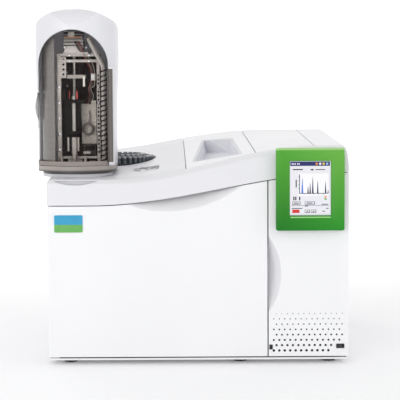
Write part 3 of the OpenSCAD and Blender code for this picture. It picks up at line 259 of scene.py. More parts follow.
def glass(name, tint, alpha, low=0.03, high=0.09):
    k = Look(name, alpha=alpha, coat=0.4)
    k.colour(tint, tuple(c * 0.85 for c in tint), 4)
    k.rough(low, high, 7)
    k.bump(k.noise(14), 0.08, 0.0004)
    return k.m


# Places where a look changes, in millimetres of the cabinet.
RAIL_SHADOW_Y = (108, 124)
CABLE_X = (112, 114)
CABLE_BEND_Z = 662
CONNECTOR_Z = 485
WINDOW_LIP_Z = 447
HINGE_STRIP_X = (131.9, 132.4)
FINGER_GRIP_X = (-26.4, -25.8)
LATCH_TOP_Z = 423.2
HOLDER_FOOT_Z = 498
FOOT_SHADOW_Z = 427
# Where the bezel's painted shading and painted highlight run.
BEZEL_SHADING_X = (496, 655)
BEZEL_SHADING_Z = (300, 474)
BEZEL_HIGHLIGHT_Z = 472.5
BADGE_SPLIT_Z = 310.8
CAP_DEPTH = 7.5
SEPTUM_DEPTH = 0.3
COIL_CENTRE = (240.3, 180, 199.75)


def frame_plate():
    """The sampler's frame: bright rails and bars before a back plate in shadow."""
    k = Look("frame_plate", Specular_IOR_Level=0.2)
    back = k.along(1, *RAIL_SHADOW_Y)
    grain = k.spread(k.noise(30, (1, 1, 10)), 0, 1)
    rails = k.mix(grain, srgb(160, 152, 147), srgb(196, 189, 183))
    k.paint(k.mix(back, rails, srgb(14, 12, 12)))
    k.rough(0.35, 0.5, 40, (1, 1, 10))
    k.bump(k.noise(160, (1, 1, 10)), 0.3, 0.00005)
    return k.m


def wiring():
    """The sampler's board, its black connector below it and the jacketed cable at its right."""
    k = Look("sampler_wiring")
    lanes = k.spread(k.noise(220, (1, 1, 4), detail=1.0), 0, 1, 0.48, 0.52)
    card = k.mix(lanes, srgb(176, 168, 157), srgb(204, 197, 186))
    cable = k.along(0, *CABLE_X)
    top = k.at_height(CABLE_BEND_Z, 0, 1)
    jacket = k.mix(k.spread(k.noise(300), 0, 1), srgb(160, 152, 147), srgb(200, 193, 187))
    low = k.mix(k.at_height(CONNECTOR_Z, 0, 1), srgb(30, 28, 28), card)
    k.paint(k.mix(cable, k.mix(top, low, jacket), jacket))
    k.rough(0.4, 0.55, 60)
    k.bump(lanes, 0.3, 0.0001)
    return k.m


def window_look():
    """Smoked sheet, with an opaque lower lip, hinge strip and finger grip."""
    k = Look("smoked_window", Specular_IOR_Level=0.02)
    lip = k.at_height(WINDOW_LIP_Z, 1, 0)
    strip = k.along(0, *HINGE_STRIP_X)
    grip = k.along(0, *FINGER_GRIP_X, 1, 0)
    smoke = k.mix(k.spread(k.noise(9), 0, 1), srgb(30, 25, 23), srgb(42, 36, 33))
    tint = k.mix(lip, smoke, srgb(150, 142, 136))
    tint = k.mix(strip, tint, srgb(112, 107, 104))
    k.paint(k.mix(grip, tint, srgb(186, 184, 184)))
    opaque = k.either(k.either(lip, strip), grip)
    k.link(k.spread(opaque, 0.2, 0.97, 0, 1), k.shader.inputs["Alpha"])
    k.rough(0.05, 0.12, 7)
    k.bump(k.noise(14), 0.08, 0.0004)
    return k.m


def latch():
    """White like the deck, with a grey raised top."""
    k = Look("latch_moulding")
    pale = k.mix(k.spread(k.noise(5), 0, 1), srgb(224, 224, 227), srgb(236, 236, 239))
    k.paint(k.mix(k.at_height(LATCH_TOP_Z, 0, 1, 0.0006), pale, srgb(120, 118, 120)))
    k.rough(0.35, 0.45, 9)
    k.bump(k.noise(1200, detail=2.0), 0.2, 0.00006)
    return k.m


def carriage_look():
    """Black syringe holder over bright legs and needle guide."""
    k = Look("lift_carriage", Specular_IOR_Level=0.1)
    grain = k.spread(k.noise(40, (1, 1, 8)), 0, 1)
    legs = k.mix(grain, srgb(150, 142, 137), srgb(186, 178, 172))
    holder = k.mix(grain, srgb(9, 7, 8), srgb(15, 12, 13))
    k.paint(k.mix(k.at_height(HOLDER_FOOT_Z, 0, 1), legs, holder))
    k.rough(0.4, 0.55, 30)
    k.bump(k.noise(800, detail=2.0), 0.25, 0.0001)
    return k.m


def tower_foot():
    """Beige foot, with painted shadow along its lower edge."""
    k = Look("tower_foot")
    beige = k.mix(k.spread(k.noise(8), 0, 1), srgb(138, 130, 125), srgb(166, 158, 152))
    # Painted shadow below FOOT_SHADOW_Z, under the foot's rim.
    k.paint(k.mix(k.at_height(FOOT_SHADOW_Z, 0, 1, 0.0015), srgb(84, 80, 79), beige))
    k.rough(0.3, 0.45, 9)
    k.bump(k.noise(1200, detail=2.0), 0.2, 0.00006)
    return k.m


def green_bezel():
    """Green with painted shading that grows lighter upwards and to the right, and a painted
    highlight along the top edge.
    """
    k = Look("green_bezel", coat=0.05, Specular_IOR_Level=0.3)
    # Painted shading: the green grows lighter upwards and to the right.
    up = k.along(2, *BEZEL_SHADING_Z)
    across = k.along(0, *BEZEL_SHADING_X)
    low = k.mix(across, srgb(0, 112, 10), srgb(30, 142, 28))
    top = k.mix(across, srgb(74, 160, 44), srgb(106, 176, 66))
    # A painted highlight along the top edge.
    edge = k.at_height(BEZEL_HIGHLIGHT_Z, 0, 1, 0.0012)
    k.paint(k.mix(edge, k.mix(up, low, top), srgb(160, 205, 132)))
    k.rough(0.3, 0.42, 10)
    k.bump(k.noise(1300, detail=2.0), 0.2, 0.00005)
    return k.m


def badge():
    k = Look("badge_enamel", coat=0.6)
    print_noise = k.spread(k.noise(60), 0, 1)
    blue = k.mix(print_noise, srgb(10, 146, 192), srgb(24, 160, 202))
    green = k.mix(print_noise, srgb(84, 164, 66), srgb(98, 174, 80))
    k.paint(k.mix(k.at_height(BADGE_SPLIT_Z, 0, 1), green, blue))
    k.rough(0.2, 0.3, 20)
    k.bump(k.noise(500), 0.1, 0.00004)
    return k.m


def vial_look():
    """Dark glass under a metal crimp cap with its septum."""
    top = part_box("vials")[1].z * 1000
    k = Look("vial_glass_and_cap", coat=0.3)
    cap = k.at_height(top - CAP_DEPTH, 0, 1)
    septum = k.at_height(top - SEPTUM_DEPTH, 0, 1)
    body = k.mix(k.spread(k.noise(90), 0, 1), srgb(58, 62, 66), srgb(92, 98, 104))
    shell = k.mix(k.spread(k.noise(120), 0, 1), srgb(128, 130, 134), srgb(168, 170, 174))
    k.paint(k.mix(cap, body, k.mix(septum, shell, srgb(176, 174, 170))))
    k.rough(0.12, 0.3, 80)
    k.bump(k.noise(700), 0.15, 0.00005)
    return k.m


def winding():
    """Amber column wound in rings about the coil's axis."""
    k = Look("column_winding", coat=0.5)
    wave = k.node("ShaderNodeTexWave", wave_type="RINGS", rings_direction="Y")
    wave.inputs["Scale"].default_value = 400
    wave.inputs["Distortion"].default_value = 1.5
    place = k.node("ShaderNodeMapping")
    place.inputs["Location"].default_value = -at(*COIL_CENTRE)
    k.link(k.where, place.inputs["Vector"])
    k.link(place.outputs[0], wave.inputs["Vector"])
    k.paint(k.mix(wave.outputs["Fac"], srgb(120, 62, 22), srgb(196, 120, 52)))
    k.rough(0.2, 0.35, 60)
    k.bump(wave.outputs["Fac"], 0.6, 0.0003)
    return k.m


def foam(name, tint, scale, depth):
    k = Look(name)
    k.colour(tint, tuple(c * 0.6 for c in tint), scale / 8)
    k.rough(0.85, 0.98, 30)
    k.bump(k.cells(scale), 0.8, depth)
    return k.m


def board(name, tint):
    k = Look(name)
    lanes = k.spread(k.noise(220, (1, 1, 4), detail=1.0), 0, 1, 0.48, 0.52)
    k.paint(k.mix(lanes, tint, tuple(min(1, c * 1.5) for c in tint)))
    k.rough(0.35, 0.5, 60)
    k.bump(lanes, 0.3, 0.0001)
    return k.m


def glow(name, tint, strength=0.9, variation=0.03):
    k = Look(name, Emission_Strength=strength)
    shade = k.mix(k.spread(k.noise(25), 0, 1), tuple(c * (1 - variation) for c in tint), tint)
    k.link(shade, k.shader.inputs["Emission Color"])
    unlit = k.mix(k.spread(k.noise(25), 0, 1), tuple(c * 0.10 for c in tint),
        tuple(c * 0.12 for c in tint))
    k.paint(unlit)
    k.rough(0.1, 0.16, 30)
    k.bump(k.noise(40), 0.03, 0.0002)
    return k.m


# The finish of each material slot, and of the nodes that have their own.
LOOKS = {
    "white_paint": powder("white_powder_coat", srgb(238, 238, 240)),
    "white_cover": moulded("white_moulding", srgb(240, 240, 242), 0.30, 0.42, coat=0.08),
    "feet_rubber": moulded("rubber", srgb(34, 34, 36), 0.7, 0.85, 700, 0.0002),
    "chassis_steel": brushed("plated_sheet", srgb(196, 198, 202), 0.28, 0.42, (1, 1, 12)),
    "bright_steel": brushed("turned_steel", srgb(214, 214, 217), 0.16, 0.28, (1, 1, 30)),
    "oven_steel": brushed("oven_stainless", srgb(186, 184, 180), 0.24, 0.4, (14, 1, 1)),
    "oven_wool": foam("mineral_wool", srgb(214, 202, 170), 260, 0.0012),
    "motor_dark": powder("dark_enamel", srgb(70, 72, 78)),
    "amber_column": winding(),
    "pale_grey": moulded("pale_moulding", srgb(214, 214, 219), 0.4, 0.5),
    "mid_grey": moulded("grey_moulding", srgb(206, 206, 212), 0.42, 0.55, 900, 0.0001),
    "filter_foam": foam("filter_foam", srgb(44, 45, 48), 900, 0.0008),
    "black_plastic": moulded("black_moulding", srgb(44, 44, 48), 0.45, 0.6, 800, 0.00012),
    "green_bezel": green_bezel(),
    "screen_glass": glow("screen_glass", srgb(224, 224, 234), 0.85, 0.02),
    "display_white": moulded("display_case", srgb(222, 222, 226), 0.4, 0.5),
    "brass_fitting": brushed("brass", srgb(206, 172, 104), 0.2, 0.32, (1, 20, 1)),
    "badge_blue": badge(),
    "vial_glass": vial_look(),
    "tower_metal": brushed("anodised_plate", srgb(160, 156, 152), 0.3, 0.45, (1, 1, 14)),
    "smoked_window": window_look(),
    "syringe_glass": glass("syringe_glass", srgb(225, 228, 232), 0.55),
    "wiring_tan": board("driver_board", srgb(168, 142, 100)),
}
EXTRA = {
    "deck_latch": latch(),
    # Painted shade: the fascia and deck cover take a darker copy of the white moulding, against the
    # strong light on their upper faces.
    "top_fascia": moulded("fascia_moulding_shaded", srgb(228, 228, 231), 0.32, 0.42, coat=0.08),
    "left_deck_cover": moulded("deck_moulding_shaded", srgb(228, 228, 231), 0.32, 0.42, coat=0.08),
    "recess_tray": moulded("recess_moulding", srgb(226, 226, 232), 0.4, 0.5),
    "tower_liner": brushed("liner_sheet", srgb(222, 218, 213), 0.3, 0.42, (1, 1, 8)),
    "sampler_frame": frame_plate(),
    "sampler_wiring": wiring(),
    "tower_floor": tower_foot(),
    "carriage": carriage_look(),
    "plunger": brushed("plunger_steel", srgb(132, 126, 121), 0.4, 0.55, (1, 1, 20)),
    "lead_screw": brushed("screw_steel", srgb(150, 146, 142), 0.35, 0.5, (1, 1, 30)),
    "syringe": glass("syringe_barrel", srgb(172, 168, 162), 0.85, 0.25, 0.4),
    # Painted shade: a darker copy of the white moulding, against the strong light on the tower's
    # head.
    "tower_shell": moulded("tower_moulding_shaded", srgb(226, 226, 230), 0.32, 0.42, coat=0.08),
    "column_cage": brushed("cage_wire", srgb(190, 188, 182), 0.25, 0.35, (8, 1, 8)),
}

for entry in frame["record"]["subparts"]:
    node = nodes[entry["node"]]
    look = EXTRA.get(entry["node"], LOOKS[entry["material_slot"]])
    if not node.material_slots:
        node.data.materials.append(look)
    for slot in node.material_slots:
        slot.material = look


# ---- mesh code ----


class Piece:
    """Shapes of one finish that ride on one body, gathered in one mesh. Sizes in millimetres."""

    def __init__(self, name, body, look, slot):
        self.name, self.body, self.look, self.slot = name, body, look, slot
        self.bm = bmesh.new()

    def box(self, x, y, z, edge=0.5):
        lo, hi = at(x[0], y[0], z[0]), at(x[1], y[1], z[1])
        made = bmesh.ops.create_cube(self.bm, size=1, matrix=Matrix.LocRotScale(
            (lo + hi) / 2, None, hi - lo))["verts"]
        if edge:
            bmesh.ops.bevel(self.bm, geom=list({e for v in made for e in v.link_edges}),
                offset=edge / 1000, segments=2, affect="EDGES")
        return self

    def ring(self, centre, side, other, r, sides):
        turns = [2 * math.pi * k / sides for k in range(sides)]
        return [self.bm.verts.new(centre + r * (side * math.cos(t) + other * math.sin(t)))
            for t in turns]

    def skin(self, rings):
        """Faces between each ring and the next."""
        n = len(rings[0])
        for a, b in zip(rings, rings[1:]):
            for i in range(n):
                self.bm.faces.new((a[i], a[(i + 1) % n], b[(i + 1) % n], b[i]))

    def prism(self, first, second):
        """A closed solid between two outlines of as many points."""
        a = [self.bm.verts.new(p) for p in first]
        b = [self.bm.verts.new(p) for p in second]
        self.bm.faces.new(a)
        self.bm.faces.new(b[::-1])
        n = len(a)
        for i in range(n):
            self.bm.faces.new((a[i], b[i], b[(i + 1) % n], a[(i + 1) % n]))
        return self

    def sweep(self, points, r, sides=10, closed=False):
        """A round bar along points; r is one radius, or one for each point."""
        pts = [at(*p) for p in points]
        radii = [v / 1000 for v in (r if isinstance(r, (list, tuple)) else [r] * len(pts))]
        n = len(pts)
        side = None
        rings = []
        for i, p in enumerate(pts):
            a, b = pts[max(i - 1, 0)], pts[min(i + 1, n - 1)]
            if closed:
                a, b = pts[i - 1], pts[(i + 1) % n]
            way = (b - a).normalized()
            side = way.orthogonal() if side is None else side - way * side.dot(way)
            side.normalize()
            other = way.cross(side)
            rings.append(self.ring(p, side, other, radii[i], sides))
        self.skin(rings + rings[:1] if closed else rings)
        if not closed:
            self.bm.faces.new(rings[0][::-1])
            self.bm.faces.new(rings[-1])
        return self

    def turned(self, place, way, profile, sides=24):
        """A turned form from (distance along the axis, radius) pairs."""
        way = Vector(way).normalized()
        side = way.orthogonal().normalized()
        other = way.cross(side)
        centre = at(*place)
        rings = [self.ring(centre + way * t / 1000, side, other, r / 1000, sides)
            for t, r in profile]
        self.skin(rings)
        self.bm.faces.new(rings[0][::-1])
        self.bm.faces.new(rings[-1])
        return self

    def plate(self, outline, y, thick):
        """A flat outline of (x, z) points, from y forward by its thickness."""
        return self.prism([at(x, y, z) for x, z in outline],
            [at(x, y - thick, z) for x, z in outline])

    def upright(self, outline, low, high):
        """A wall over an outline of (x, y) points, between two heights."""
        return self.prism([at(x, y, low) for x, y in outline],
            [at(x, y, high) for x, y in outline])

    def loop(self, rings):
        """A closed frame from rings of as many points, the last joined to the first."""
        made = [[self.bm.verts.new(at(*p)) for p in ring] for ring in rings]
        self.skin(made + made[:1])
        return self

    def done(self, smooth=True):
        bmesh.ops.recalc_face_normals(self.bm, faces=self.bm.faces)
        mesh = bpy.data.meshes.new(self.name)
        self.bm.to_mesh(mesh)
        self.bm.free()
        mesh.materials.append(self.look)
        if smooth:
            mesh.shade_smooth()
            mesh.set_sharp_from_angle(angle=math.radians(40))
        piece = bpy.data.objects.new(self.name, mesh)
        bpy.context.scene.collection.objects.link(piece)
        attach(piece, self.body)
        return piece


def circle(x, z, r, n=20, start=0.0, turn=360.0):
    """Points on a circle, or on an arc of it, whose last point is then included."""
    turns = [math.radians(start + turn * k / n) for k in range(n if turn == 360 else n + 1)]
    return [(x + r * math.cos(a), z + r * math.sin(a)) for a in turns]


def rounded(x0, x1, z0, z1, r):
    corners = ((x1 - r, z1 - r, 0), (x0 + r, z1 - r, 90),
        (x0 + r, z0 + r, 180), (x1 - r, z0 + r, 270))
    return [p for x, z, a in corners for p in circle(x, z, r, 5, a, 90)]


def helix(x, y, z0, z1, r, pitch, steps=14):
    n = int((z1 - z0) / pitch * steps)
    turns = [2 * math.pi * k / steps for k in range(n + 1)]
    return [(x + r * math.cos(a), y + r * math.sin(a), z0 + (z1 - z0) * k / n)
        for k, a in enumerate(turns)]


def curve(points, steps=6):
    """Points on a smooth line through the given ones."""
    p = [Vector(v) for v in points]
    p = [2 * p[0] - p[1]] + p + [2 * p[-1] - p[-2]]
    out = []
    for i in range(1, len(p) - 2):
        a, b, c, d = p[i - 1:i + 3]
        for k in range(steps):
            t = k / steps
            out.append(0.5 * (2 * b + (c - a) * t + (2 * a - 5 * b + 4 * c - d) * t * t
                + (3 * b - a - 3 * c + d) * t ** 3))
    return [tuple(v) for v in out + [p[-2]]]


# ---- touch screen ----

SCREEN_Y = (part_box("touch_screen")[0].y - FRONT) * 1000
SCREEN_X, SCREEN_Z = 530.5, 448.0
# The picture's units on the screen: where its upper left corner is, and their size.
PICTURE_X, PICTURE_Y, PER_UNIT = 288.6, 161.9, 2.1


def shown(px, py):
    """A place on the screen from its place in the picture."""
    return SCREEN_X + (px - PICTURE_X) * PER_UNIT, SCREEN_Z - (py - PICTURE_Y) * PER_UNIT


def on_screen(name, tint, shapes, layer):
    """Flat shapes of one colour; a higher layer lies in front."""
    p = Piece(name, "cabinet", glow(name, srgb(*tint)), "screen_glass")
    for outline in shapes:
        p.plate([shown(*v) for v in outline], SCREEN_Y - 0.12 * layer, 0.1)
    return p.done(smooth=False)


def area(x0, x1, y0, y1):
    return [(x0, y1), (x1, y1), (x1, y0), (x0, y0)]


def peak(x, top, half, base=195):
    """A narrow peak of the trace, with its foot on the chart's axis."""
    return [(x - half, base), (x - half * 0.35, top + (base - top) * 0.25), (x, top),
        (x + half * 0.35, top + (base - top) * 0.25), (x + half, base)]


on_screen("screen_ground", (234, 234, 240), [area(289.0, 329.9, 162.3, 216.5)], 0)
on_screen("screen_title", (34, 40, 104), [area(289.0, 329.9, 162.3, 166.8)], 1)
for name, x, tint in (("orange", 316.2, (232, 140, 70)), ("white", 319.8, (240, 240, 244)),
        ("yellow", 323.4, (232, 206, 84)), ("blue", 327, (150, 196, 230))):
    on_screen("screen_icon_" + name, tint, [circle(x, 164.6, 1.25, 16)], 2)
on_screen("screen_title_words", (236, 238, 250),
    [area(x, x + 1.1, 163.9, 165.4) for x in (290.4, 292, 293.6, 296, 297.6)], 2)
on_screen("screen_chart", (250, 250, 253), [area(297.5, 328.6, 174.6, 197.6)], 1)
on_screen("screen_axes", (50, 52, 80),
    [area(298.1, 298.9, 175.5, 195.6), area(298.3, 328.2, 194.9, 195.6)]
    + [area(297.2, 298.3, y, y + 0.5) for y in (178, 182, 186, 190)]
    + [area(x, x + 0.5, 195.6, 196.6) for x in (303, 308, 313, 318, 323)], 2)
on_screen("screen_trace", (30, 32, 70), [peak(307.3, 187.5, 0.8), peak(309.5, 183.5, 0.8),
    peak(312.2, 177.2, 0.9), peak(317.3, 181, 0.8), peak(325.4, 182, 0.8), peak(328, 191, 0.6)], 3)
on_screen("screen_trace_marked", (78, 116, 216), [peak(301.4, 178, 1.0)], 3)
on_screen("screen_values", (24, 24, 34),
    [area(292 + 2 * k, 293.3 + 2 * k, 198.6, 202.4) for k in (0, 1, 3)]
    + [area(291.5, 302, 170, 171.1), area(310, 313, 170, 171.4), area(315, 325, 170.2, 171.0)]
    + [area(294.5, 295.6, 181, 189)], 2)
on_screen("screen_state_orange", (236, 150, 60), [circle(325.4, 198.9, 1.7, 3, 90)], 2)
on_screen("screen_state_green", (96, 176, 96), [area(324.2, 326.6, 200.4, 201.9)], 2)
BUTTONS = [(291, 299.5, 203.6, 206.8), (304, 314.5, 203.6, 206.8), (304, 309.4, 212.2, 215.4),
    (310.4, 315.8, 212.2, 215.4)]
on_screen("screen_button_edges", (60, 62, 84), [area(*b) for b in BUTTONS], 1)
on_screen("screen_buttons", (238, 238, 242),
    [area(a + 0.4, b - 0.7, c + 0.4, d - 0.7) for a, b, c, d in BUTTONS], 2)
WORDS = [(292.5, 5.2, 204.8), (306, 6, 204.8), (290.5, 11, 210.4), (304, 3.5, 208),
    (322, 3, 213.4), (326, 2.6, 210.4), (305.6, 2, 213.4), (312, 2, 213.4), (321.5, 6.5, 206.2)]
on_screen("screen_words", (50, 52, 70), [area(x, x + w, y, y + 0.8) for x, w, y in WORDS], 3)
on_screen("screen_rules", (70, 74, 104), [area(290, 329, 207.6, 208.0)], 2)
on_screen("screen_stop", (214, 48, 44), [area(291, 298.5, 212, 215.6)], 2)

# The bezel runs in rings over its outer edge, across its face and down to the screen.
BEZEL = [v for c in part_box("display_bezel")
    for v in ((c.x - LEFT) * 1000, (c.y - FRONT) * 1000, c.z * 1000)]
bx0, by0, bz0, bx1, by1, bz1 = BEZEL
sx0, sx1, sz0, sz1 = SCREEN_X, 619, 330.5, SCREEN_Z
BEZEL_CORNER = 4.6
rings = [[(x, y, z) for x, z in rounded(
    bx0 + inset, bx1 - inset, bz0 + inset, bz1 - inset, BEZEL_CORNER - inset)]
    for inset, y in ((0, by1), (0, by0 + 2), (0.5, by0 + 0.7), (1.8, by0))]
rings += [[(x, y, z) for x, z in rounded(sx0 - out, sx1 + out, sz0 - out, sz1 + out, 1.2 + out)]
    for out, y in ((2.6, by0), (1.8, by0 + 0.6), (0, SCREEN_Y - 0.4), (0, by1))]
bezel = Piece("bezel_frame", "cabinet", LOOKS["green_bezel"], "green_bezel").loop(rings).done()
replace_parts(bezel, "display_bezel")

PALE_GREEN = moulded("bezel_lip", srgb(150, 208, 128), 0.3, 0.4)
lip = Piece("bezel_lip", "cabinet", PALE_GREEN, "green_bezel")
lip.plate(rounded(531, 618.5, 325.0, 327.7, 1.2), by0 + 0.05, 0.35)
lip.done()


# ---- sampler mechanism ----

BLACK = moulded("inner_black", srgb(9, 8, 9), 0.5, 0.65, 800, 0.00012, Specular_IOR_Level=0.08)
DARK = moulded("drive_dark", srgb(30, 26, 26), 0.45, 0.6, 500, 0.0002, Specular_IOR_Level=0.12)
STEEL = LOOKS["bright_steel"]
GREY = moulded("cable_jacket", srgb(120, 116, 112), 0.5, 0.6, 600, 0.0002)
RED = moulded("red_moulding", srgb(186, 62, 52), 0.35, 0.45)
CREAM = moulded("cream_label", srgb(196, 190, 180), 0.45, 0.55)
COPPER = brushed("copper_winding", srgb(190, 120, 78), 0.25, 0.35, (1, 1, 40))
# Screw heads, as distances along the screw and radii.
LARGE_HEAD = [(0, 4), (1.6, 4), (2.4, 3.1), (2.4, 1.4), (1.3, 1.2)]
FRAME_HEAD = [(0, 3.2), (1.6, 3.2), (2.2, 2.5), (2.2, 1.6), (1.2, 1.4)]
SMALL_HEAD = [(0, 2.2), (1.4, 2.2), (1.9, 1.5)]
FORWARD = (0, -1, 0)

bands = Piece("motor_laminations", "tower", BLACK, "black_plastic")
for k in range(5):
    bands.box((32.2, 77.8), (89.2, 134.6), (701.5 + 7 * k, 703.4 + 7 * k), 0.4)
bands.done()
cap = Piece("motor_cap", "tower", CREAM, "display_white")
cap.box((37, 73), (96, 128), (736, 739), 1.0).box((44, 58), (86.4, 92), (722, 732), 0.8)
cap.done()
copper = Piece("motor_windings", "tower", COPPER, "brass_fitting")
copper.box((36, 74), (91.4, 92.2), (719.5, 721.5), 0.3)
copper.done()

screws = Piece("frame_screws", "tower", STEEL, "bright_steel")
for x in (22, 109):
    for z in (470, 505, 540, 575, 610):
        screws.turned((x, 96, z), FORWARD, FRAME_HEAD)
for x in (36, 84):
    screws.turned((x, 88, 697.5), FORWARD, [(0, 1.9), (1.2, 1.9), (1.8, 1.2)])
for x, z in ((45, 668), (90, 668), (45, 681), (90, 681)):
    screws.turned((x, 96, z), FORWARD, SMALL_HEAD)
screws.done()

dark_slot_fill = Piece("rail_slots", "tower", BLACK, "black_plastic")
for k in range(20):
    dark_slot_fill.plate(rounded(107.4, 111.2, 462 + 9 * k, 467 + 9 * k, 1.6), 96, 0.3)
dark_slot_fill.done()

spiral = Piece("cable_spiral_wrap", "tower", DARK, "wiring_tan")
spiral.sweep(helix(121, 90, 428, 648, 6.2, 11), 1.5, 8)
spiral.done()

card = Piece("lower_card", "tower", board("lower_card", srgb(170, 162, 152)), "wiring_tan")
card.box((69, 102), (127.6, 129.9), (482, 530.6), 0.4)
card.done()
loops = Piece("sensor_cable_loops", "tower", GREY, "wiring_tan")
for k in range(3):
    turns = [2 * math.pi * i / 28 for i in range(28)]
    ring = [(84 + (13 - 2 * k) * math.cos(a), 122 - 3 * k, 515 + (14 - 2 * k) * math.sin(a))
        for a in turns]
    loops.sweep(ring, 1.4, 8, closed=True)
loops.sweep(curve([(84, 122, 529), (88, 120, 540), (86, 124, 556)]), 1.4, 8)
loops.done()

# Each wire runs from the connector down to the board and up to the motor.
WIRES = [("red", (122, 44, 42)), ("grey", (120, 114, 112)), ("brown", (96, 70, 58)),
    ("black", (34, 32, 33)), ("pale", (168, 160, 154))]
for k, (name, tint) in enumerate(WIRES):
    x = 90.5 + 2.4 * k
    jacket = moulded("wire_" + name, srgb(*tint), 0.4, 0.5, 500)
    w = Piece("wire_" + name, "tower", jacket, "wiring_tan")
    w.sweep(curve([(x, 114, 624), (x - 1, 110, 616 - k), (x - 5 - k, 112, 606), (x - 4, 120, 592),
        (x - 6, 125, 580), (x - 9, 127.8, 571)]), 0.9, 8)
    w.sweep(curve([(x, 114, 640), (x - 1, 110, 652), (x - 6, 104, 662 + k), (x - 12, 100, 676),
        (76 - 2 * k, 88, 690), (70 - 3 * k, 87, 706), (66 - 3 * k, 91, 712)]), 0.9, 8)
    w.done()

parts = Piece("board_parts", "tower", BLACK, "black_plastic")
parts.box((77, 99), (108.6, 112.2), (468, 478), 0.6).box((77, 99), (109.6, 112.2), (448, 458), 0.6)
parts.done()
plugs = Piece("board_plugs", "tower", CREAM, "display_white")
plugs.box((91, 101.5), (122, 129), (572.4, 579), 0.5)
plugs.box((86, 101.5), (106.5, 112.2), (432, 444), 0.6)
plugs.box((73, 89), (110.4, 112.2), (460, 465), 0.4)
plugs.done()
pins = Piece("connector_pins", "tower", STEEL, "bright_steel")
for k in range(6):
    pins.box((93.2 + 1.3 * k, 93.8 + 1.3 * k), (106.6, 108.2), (627, 637), 0.1)
pins.done()

pinch = Piece("pinch_block", "tower", DARK, "black_plastic")
pinch.box((27, 36.6), (99, 112), (580, 608), 1.0).box((74, 84), (107.4, 123), (580, 606), 1.0)
for k in range(4):
    pinch.box((74.6, 83.4), (106.2, 107.6), (583 + 6 * k, 585.6 + 6 * k), 0.3)
pinch.done()
drive = Piece("drive_parts", "tower", DARK, "black_plastic")
drive.box((30, 47), (122.5, 130), (598, 660), 1.2).box((66, 86), (122.5, 130), (584, 612), 1.2)
drive.box((66, 84), (122.5, 130), (640, 662), 1.2)
for x, z, r in ((38.5, 642, 8), (76, 598, 9.5), (75, 651, 7.5), (38.5, 612, 7)):
    drive.turned((x, 122.5, z), FORWARD,
        [(0, r), (3, r), (3.4, r - 0.6), (3.4, r * 0.5), (5.4, r * 0.45), (5.4, 1)])
drive.done()
hubs = Piece("drive_hubs", "tower", GREY, "bright_steel")
for x, z in ((38.5, 642), (76, 598), (75, 651), (38.5, 612)):
    hubs.turned((x, 117.1, z), FORWARD, SMALL_HEAD)
hubs.done()

thread = Piece("screw_thread", "screw", STEEL, "bright_steel")
thread.sweep(helix(55, 112, 459, 694, 3.6, 5, 12), 0.9, 6)
thread.done()

marks = Piece("lift_marks", "lift", RED, "black_plastic")
for k in range(4):
    for x in ((45.5, 46.9), (61, 64.6)):
        marks.box(x, (79.3, 80.1), (584.2 + 4.6 * k, 586.8 + 4.6 * k), 0.2)
marks.done()
clamp = Piece("syringe_clamp", "lift", BLACK, "black_plastic")
clamp.box((43, 49.6), (80, 88), (582.2, 604), 0.8).box((60.4, 67), (80, 88), (582.2, 604), 0.8)
clamp.done()
flag = Piece("plunger_flag", "piston", CREAM, "display_white")
flag.box((76.2, 80.8), (81.6, 83.2), (611, 634), 0.5)
flag.done()

scale = Piece("syringe_scale", "lift", BLACK, "black_plastic")
for k in range(12):
    scale.box((53.4 if k % 4 else 52.6, 56.6), (83.6, 84.3), (516 + 5 * k, 516.5 + 5 * k), 0.0)
scale.done()

# The curved liner ends at the left rail, so that the rail shows beside it.
liner = Piece("liner_sheet", "tower", EXTRA["tower_liner"], "tower_metal")
arcs = [(60 + r * math.cos(math.radians(a)), 118 + r * math.sin(math.radians(a)))
    for r, way in ((78.5, range(-176, -123, 3)), (77, range(-125, -177, -3))) for a in way]
liner.upright(arcs, 436.2, 725.8)
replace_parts(liner.done(), "tower_liner")


# ---- deck and rear detail ----


def top_of(name, x, y):
    """Height of a CAD node's upper face at a place of the body, in mm."""
    node = nodes[name]
    back = node.matrix_world.inverted()
    start, end = back @ at(x, y, 800), back @ at(x, y, 0)
    found, place, _, _ = node.ray_cast(
        start, (end - start).normalized(), depsgraph=bpy.context.evaluated_depsgraph_get())
    return (node.matrix_world @ place).z * 1000 if found else None


# A pale strip lies in the seam left of the recess, along the cover's right edge: painted light that
# takes the shade out of the seam.
COVER_FOOT_Z = 395
SEAM_START_X, SEAM_STEP = 280, 0.5
SEAM_PAINTED_LIGHT = moulded("seam_painted_light", srgb(206, 206, 210), 0.5, 0.6)
seam_light_strip = Piece("seam_painted_light", "cabinet", SEAM_PAINTED_LIGHT, "white_cover")
line = []
for y in range(96, 632, 8):
    edge = None
    for k in range(60):
        x = SEAM_START_X + SEAM_STEP * k
        height = top_of("left_deck_cover", x, y)
        if height is None or height < COVER_FOOT_Z:
            break
        edge = (x, height)
    if edge:
        line.append((edge[0] + 0.8, y, edge[1] - 0.6))
if len(line) > 3:
    seam_light_strip.sweep(line, 0.62, 6)
seam_light_strip.done()
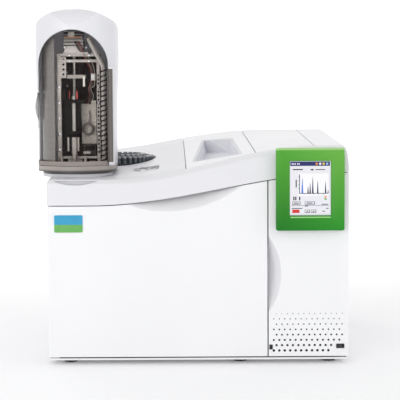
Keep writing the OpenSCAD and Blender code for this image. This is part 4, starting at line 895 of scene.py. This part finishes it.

# Painted shade in the slots of the latch in the deck: dark strips let into its plate.
dark_slot_fill = Piece("latch_slot_shade", "cabinet", DARK, "black_plastic")
for y in (126, 150, 175):
    points = [(x, y, top_of("deck_latch", x, y)) for x in range(184, 240, 3)]
    points = [(x, y, z + 0.15) for x, y, z in points if z and z < LATCH_TOP_Z + 0.2]
    if len(points) > 2:
        dark_slot_fill.sweep(points, 0.8, 6)
dark_slot_fill.done()

heads = Piece("panel_screws", "cabinet", STEEL, "bright_steel")
REAR_Y = 648.6
side_screws = [(x, z) for x in (20, 640) for z in (40, 160, 280, 400)]
for x, z in side_screws + [(160, 40), (300, 40), (440, 40)]:
    heads.turned((x, REAR_Y, z), (0, 1, 0), LARGE_HEAD)
heads.done()


# ---- floor and backdrop, which aren't part of the object ----

STAGE_X, STAGE_FRONT, STAGE_BACK, STAGE_TOP = 20, -12, 14, 12

floor_look = Look("floor")
floor_look.colour((0.94, 0.94, 0.95), (0.92, 0.92, 0.93), 0.6)
floor_look.rough(0.7, 0.85, 3)
# The floor glows more towards the back: painted light that fades it into the backdrop.
floor_look.set("Emission Color", (0.95, 0.95, 0.96, 1))
floor_look.link(floor_look.spread(floor_look.axis(1), 0.07, 0.46, 0.35, 3.2),
    floor_look.shader.inputs["Emission Strength"])
floor_look.bump(floor_look.noise(30), 0.02, 0.0005)


def stage(name, corners, look):
    mesh = bpy.data.meshes.new(name)
    mesh.from_pydata(corners, [], [(0, 1, 2, 3)])
    mesh.materials.append(look)
    sheet = bpy.data.objects.new(name, mesh)
    bpy.context.scene.collection.objects.link(sheet)


stage("floor", [(-STAGE_X, STAGE_FRONT, 0), (STAGE_X, STAGE_FRONT, 0), (STAGE_X, STAGE_BACK, 0),
    (-STAGE_X, STAGE_BACK, 0)], floor_look.m)
wall_look = Look("backdrop", Emission_Strength=1.0)
wall_look.colour((0.1, 0.1, 0.1), (0.09, 0.09, 0.09), 0.5)
wall_look.set("Emission Color", (0.97, 0.97, 0.975, 1))
wall_look.rough(0.8, 0.9, 2)
stage("backdrop", [(-STAGE_X, STAGE_BACK, -0.01), (STAGE_X, STAGE_BACK, -0.01),
    (STAGE_X, STAGE_BACK, STAGE_TOP), (-STAGE_X, STAGE_BACK, STAGE_TOP)], wall_look.m)
